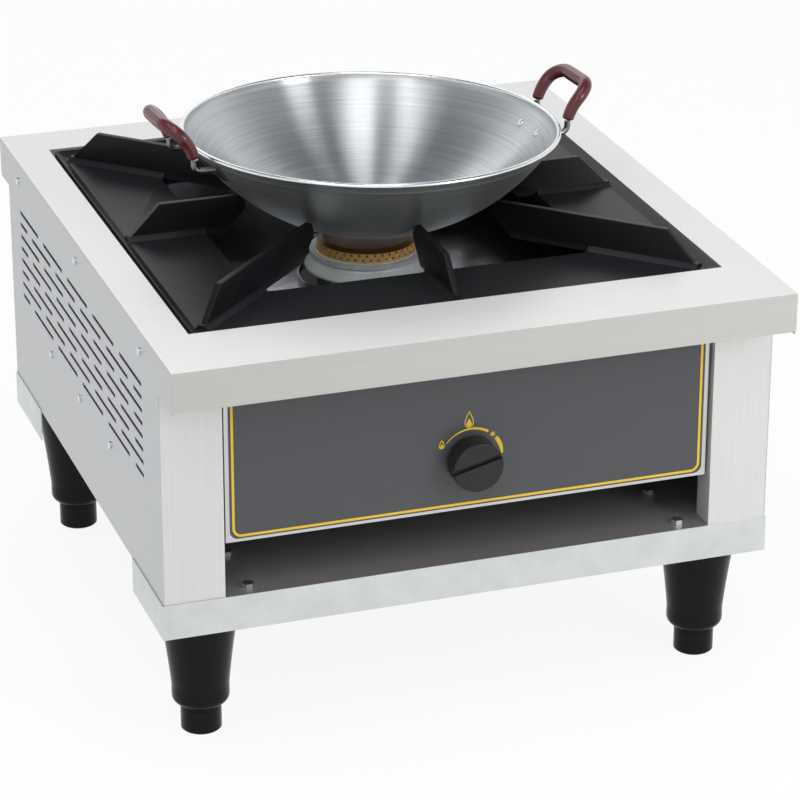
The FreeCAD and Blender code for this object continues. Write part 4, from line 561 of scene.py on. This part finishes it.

# Pan support ----------------------------------------------------------------------------------------
# One black enamelled iron casting: a plate with a raised lip and eight fins. Every edge is
# rounded by the mould, and the plate is painted a little greyer than the fins, as painted sheen.

plate_top, fins_from = 0.4030, 0.4075
iron_paint = grained_paint("black_enamelled_iron", (0.0025, 0.0028, 0.0040),
                           (0.0065, 0.0070, 0.0090), 520, 0.30, 0.20, 0.55, 0.00016, gloss=0.2)
tree = iron_paint.node_tree
height = upward_part(tree, tree.nodes.new("ShaderNodeTexCoord").outputs["Object"])
# Painted sheen: below the fins the plate takes a greyer colour than the fins.
plate_sheen_to_fins = add_range(tree, height, (plate_top, fins_from))
blend_colour(iron_paint, plate_sheen_to_fins, ((0.0130, 0.0138, 0.0160), None))


def moulded_copy(name, node, paint, rounding):
    """A copy of a CAD node with its loose triangles joined into faces and its edges rounded.

    Triangles within 0.01 radian of each other become one face, and edges that bend by more than
    half a radian are rounded over that width, in three steps.
    """
    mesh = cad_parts[node].data.copy()
    mesh.name = name
    shape = bmesh.new()
    shape.from_mesh(mesh)
    bmesh.ops.remove_doubles(shape, verts=shape.verts, dist=1e-6)
    bmesh.ops.dissolve_limit(shape, angle_limit=0.01, verts=shape.verts, edges=shape.edges)
    shape.to_mesh(mesh)
    shape.free()
    mesh.materials.clear()
    mesh.materials.append(paint)
    mesh.polygons.foreach_set("use_smooth", np.full(len(mesh.polygons), True))
    piece = bpy.data.objects.new(name, mesh)
    scene.collection.objects.link(piece)
    rounded = piece.modifiers.new("rounding", "BEVEL")
    rounded.width = rounding
    rounded.segments = 3
    rounded.limit_method = "ANGLE"
    rounded.angle_limit = 0.5
    rounded.harden_normals = True
    return piece


support = moulded_copy("support_casting", "pan_support", iron_paint, 0.0011)
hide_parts("pan_support")
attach(support, "pan_support")

# Wok ------------------------------------------------------------------------------------------------
# A spun steel bowl with a rolled bead at its rim and a line rolled in below it. The brushing runs
# in rings round the bowl, so the light shows in it as bright fans.

wok_middle = np.array([0.0015, 0.014, 0.602907])
wok_tilt = np.array(Matrix.Rotation(math.radians(1.27), 3, "Y")
                    @ Matrix.Rotation(math.radians(-1.15), 3, "X"))
wok_r, wok_wall, wok_rise, bead_r = 0.215, 0.0015, 0.112, 0.00235
line_drop, line_spread, line_lift = 0.012, 0.0012, 0.0003
close_span = 0.09
covered, tucked = 3, 5


def ringed_metal(name, dark, light, shine, spread, swirl, rings):
    """Spun metal: the UV map's first part goes round the bowl and its second goes outwards.

    The noise is drawn out round the bowl, so it makes rings, and the shader's anisotropy, a
    quarter turn from the map's first direction, stretches the highlights across them.
    """
    paint, tree, shader = new_paint(name)
    shader.inputs["Metallic"].default_value = 1.0
    shader.inputs["Anisotropic"].default_value = swirl
    shader.inputs["Anisotropic Rotation"].default_value = 0.25
    along = tree.nodes.new("ShaderNodeTangent")
    along.direction_type = "UV_MAP"
    along.uv_map = "around_and_out"
    tree.links.new(along.outputs[0], shader.inputs["Tangent"])
    chart = tree.nodes.new("ShaderNodeUVMap")
    chart.uv_map = "around_and_out"
    noise = add_noise(tree, chart.outputs[0], rings, 8.0, 0.7)
    add_relief(tree, shader, noise, shine, spread, 0.3, 0.00006)
    add_tint(tree, shader, noise, dark, light)
    return paint


# The profile goes out along the inside from its pole, round the bead and back along the outside.
# The outside's first close_span of angle has its points closer, for the rolled line. The bead's
# centre lies an eighth of its radius out, and it covers the last points of both arcs.
rim_angle = math.acos(wok_rise / wok_r)
inner_r = wok_r - wok_wall
inside = np.linspace(0, math.acos(wok_rise / inner_r), 90)
outside = np.concatenate([np.linspace(rim_angle, rim_angle - close_span, 40)[:-1],
                          np.linspace(rim_angle - close_span, 0, 70)])
inner_arc = np.stack([inner_r * np.sin(inside), -inner_r * np.cos(inside)], 1)
below_rim = wok_r * (rim_angle - outside)
rolled_r = wok_r + line_lift * np.exp(-((below_rim - line_drop) / line_spread) ** 2)
outer_arc = np.stack([rolled_r * np.sin(outside), -rolled_r * np.cos(outside)], 1)
bead_x, bead_z = wok_r * math.sin(rim_angle) + bead_r / 8, -wok_rise
roll = np.radians(np.linspace(205, -70, 24))
bead = np.stack([bead_x + bead_r * np.cos(roll), bead_z + bead_r * np.sin(roll)], 1)
wok_profile = np.concatenate([inner_arc[:-covered], bead, outer_arc[covered:]])

# Its three paints go by the way along the profile, and the tucked rings under the bead are
# painted as the outside.
inner_paint = ringed_metal("spun_steel", (0.44, 0.46, 0.475), (0.68, 0.70, 0.71),
                           0.30, 0.07, 1.0, (5.0, 360.0, 1.0))
outer_paint = ringed_metal("wok_underside", (0.36, 0.38, 0.37), (0.49, 0.51, 0.50),
                           0.40, 0.10, 0.4, (3.0, 300.0, 1.0))
bead_paint = plain_metal("polished_bead", (0.74, 0.76, 0.77), (0.86, 0.87, 0.88), 0.20, 0.08)
bowl = turned_piece("wok_shell", wok_profile, wok_middle, wok_tilt, inner_paint, 288)
bowl.data.materials.append(outer_paint)
bowl.data.materials.append(bead_paint)
bead_start = len(inner_arc) - covered
bead_end = bead_start + len(bead) - tucked
ring_of_face = np.arange(len(bowl.data.polygons)) % (len(wok_profile) - 1)
paint_of_face = np.where(ring_of_face < bead_start, 0, np.where(ring_of_face < bead_end, 2, 1))
bowl.data.polygons.foreach_set("material_index", paint_of_face.astype(np.int32))
set_outward(bowl)
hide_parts("wok_bowl")
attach(bowl, "wok")
finish_nodes(plain_metal("handle_steel", (0.17, 0.17, 0.17), (0.27, 0.27, 0.27), 0.26, 0.14),
             "right_handle_strap", "left_handle_strap")
finish_nodes(bead_paint, "wok_rivets")

# Wok handles' grips ------------------------------------------------------------------------------------
# Red-brown phenolic grips, moulded on the handles' steel rods, glossy with darker flow marks.

grip_paint = grained_paint("red_brown_moulding", (0.070, 0.011, 0.013), (0.115, 0.021, 0.024),
                           140, 0.18, 0.12, 0.20, 0.0002, gloss=0.35)
shader = grip_paint.node_tree.nodes["Principled BSDF"]
shader.inputs["Coat Weight"].default_value = 0.2
shader.inputs["Coat Roughness"].default_value = 0.06

grip_half, grip_rise, grip_bend, grip_curve = 0.037, 0.0415, 0.019, 0.050
grip_end_r, grip_middle_r, grip_out, grip_low = 0.0057, 0.007, 0.194, 0.0015
grip_lean, grip_turn = math.radians(13.5), math.radians(2.8)
end_round, end_least = 0.003, 0.0001


def grip_path(rows):
    """The flat loop: up one leg, round two corners and down the other.

    Returns the run along it and its points across and up, in rows at even steps of the run.
    """
    leg = np.linspace(0, grip_rise - grip_bend, 40)[:-1]
    turn = np.linspace(math.pi, math.pi / 2, 60)
    first = np.stack([np.full(len(leg), -grip_half), leg], 1)
    corner = np.stack([grip_bend - grip_half + grip_bend * np.cos(turn),
                       grip_rise - grip_bend + grip_bend * np.sin(turn)], 1)
    half = np.concatenate([first, corner])
    path = np.concatenate([half, (half * [-1, 1])[::-1]])
    run = np.concatenate([[0], np.cumsum(np.linalg.norm(np.diff(path, axis=0), axis=1))])
    even = np.linspace(0, run[-1], rows)
    return even, np.stack([np.interp(even, run, path[:, 0]), np.interp(even, run, path[:, 1])], 1)


def swept_grip(name, turn, rows=150, around=36):
    """A round section carried along a loop that is rolled onto an outward curve.

    A height u up the flat loop goes to the angle lean + u / curve of an arc, whose point is
    out + curve (cos lean - cos angle) from the wok's axis and curve (sin angle - sin lean) up.
    Each section is the point plus radius times (cos b along the loop's plane, sin b square to
    it), and the radius swells to the middle of the loop and closes in a quarter round at its
    ends.
    """
    run, flat = grip_path(rows)
    angle = grip_lean + flat[:, 1] / grip_curve
    line = np.stack([grip_out + grip_curve * (math.cos(grip_lean) - np.cos(angle)), flat[:, 0],
                     grip_curve * (np.sin(angle) - math.sin(grip_lean)) - wok_rise - grip_low], 1)
    step = np.gradient(line, axis=0)
    step /= np.linalg.norm(step, axis=1, keepdims=True)
    square = np.stack([np.cos(angle), np.zeros(rows), -np.sin(angle)], 1)
    inward = np.cross(square, step)
    inward /= np.linalg.norm(inward, axis=1, keepdims=True)
    share = run / run[-1]
    swell = grip_end_r + (grip_middle_r - grip_end_r) * np.sin(math.pi * share)
    ends = np.clip(np.minimum(share, 1 - share) * run[-1] / end_round, 0, 1)
    radius = np.maximum(swell * np.sqrt(1 - (1 - ends) ** 2), end_least)[:, None, None]
    round_turn = np.linspace(0, 2 * math.pi, around, endpoint=False)[None, :, None]
    points = line[:, None] + radius * (np.cos(round_turn) * inward[:, None]
                                       + np.sin(round_turn) * square[:, None])
    turning = wok_tilt @ np.array(Matrix.Rotation(turn, 3, "Z"))
    ring = np.arange(around)
    faces = grid_faces(rows, around, wrap_columns=True)
    faces += [ring[::-1].tolist(), (ring + (rows - 1) * around).tolist()]
    return set_outward(new_piece(name, points.reshape(-1, 3) @ turning.T + wok_middle, faces,
                                 grip_paint))


for side, turn in (("right", grip_turn), ("left", grip_turn + math.pi)):
    grip = swept_grip(f"{side}_grip", turn)
    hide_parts(f"{side}_handle_grip")
    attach(grip, "wok")
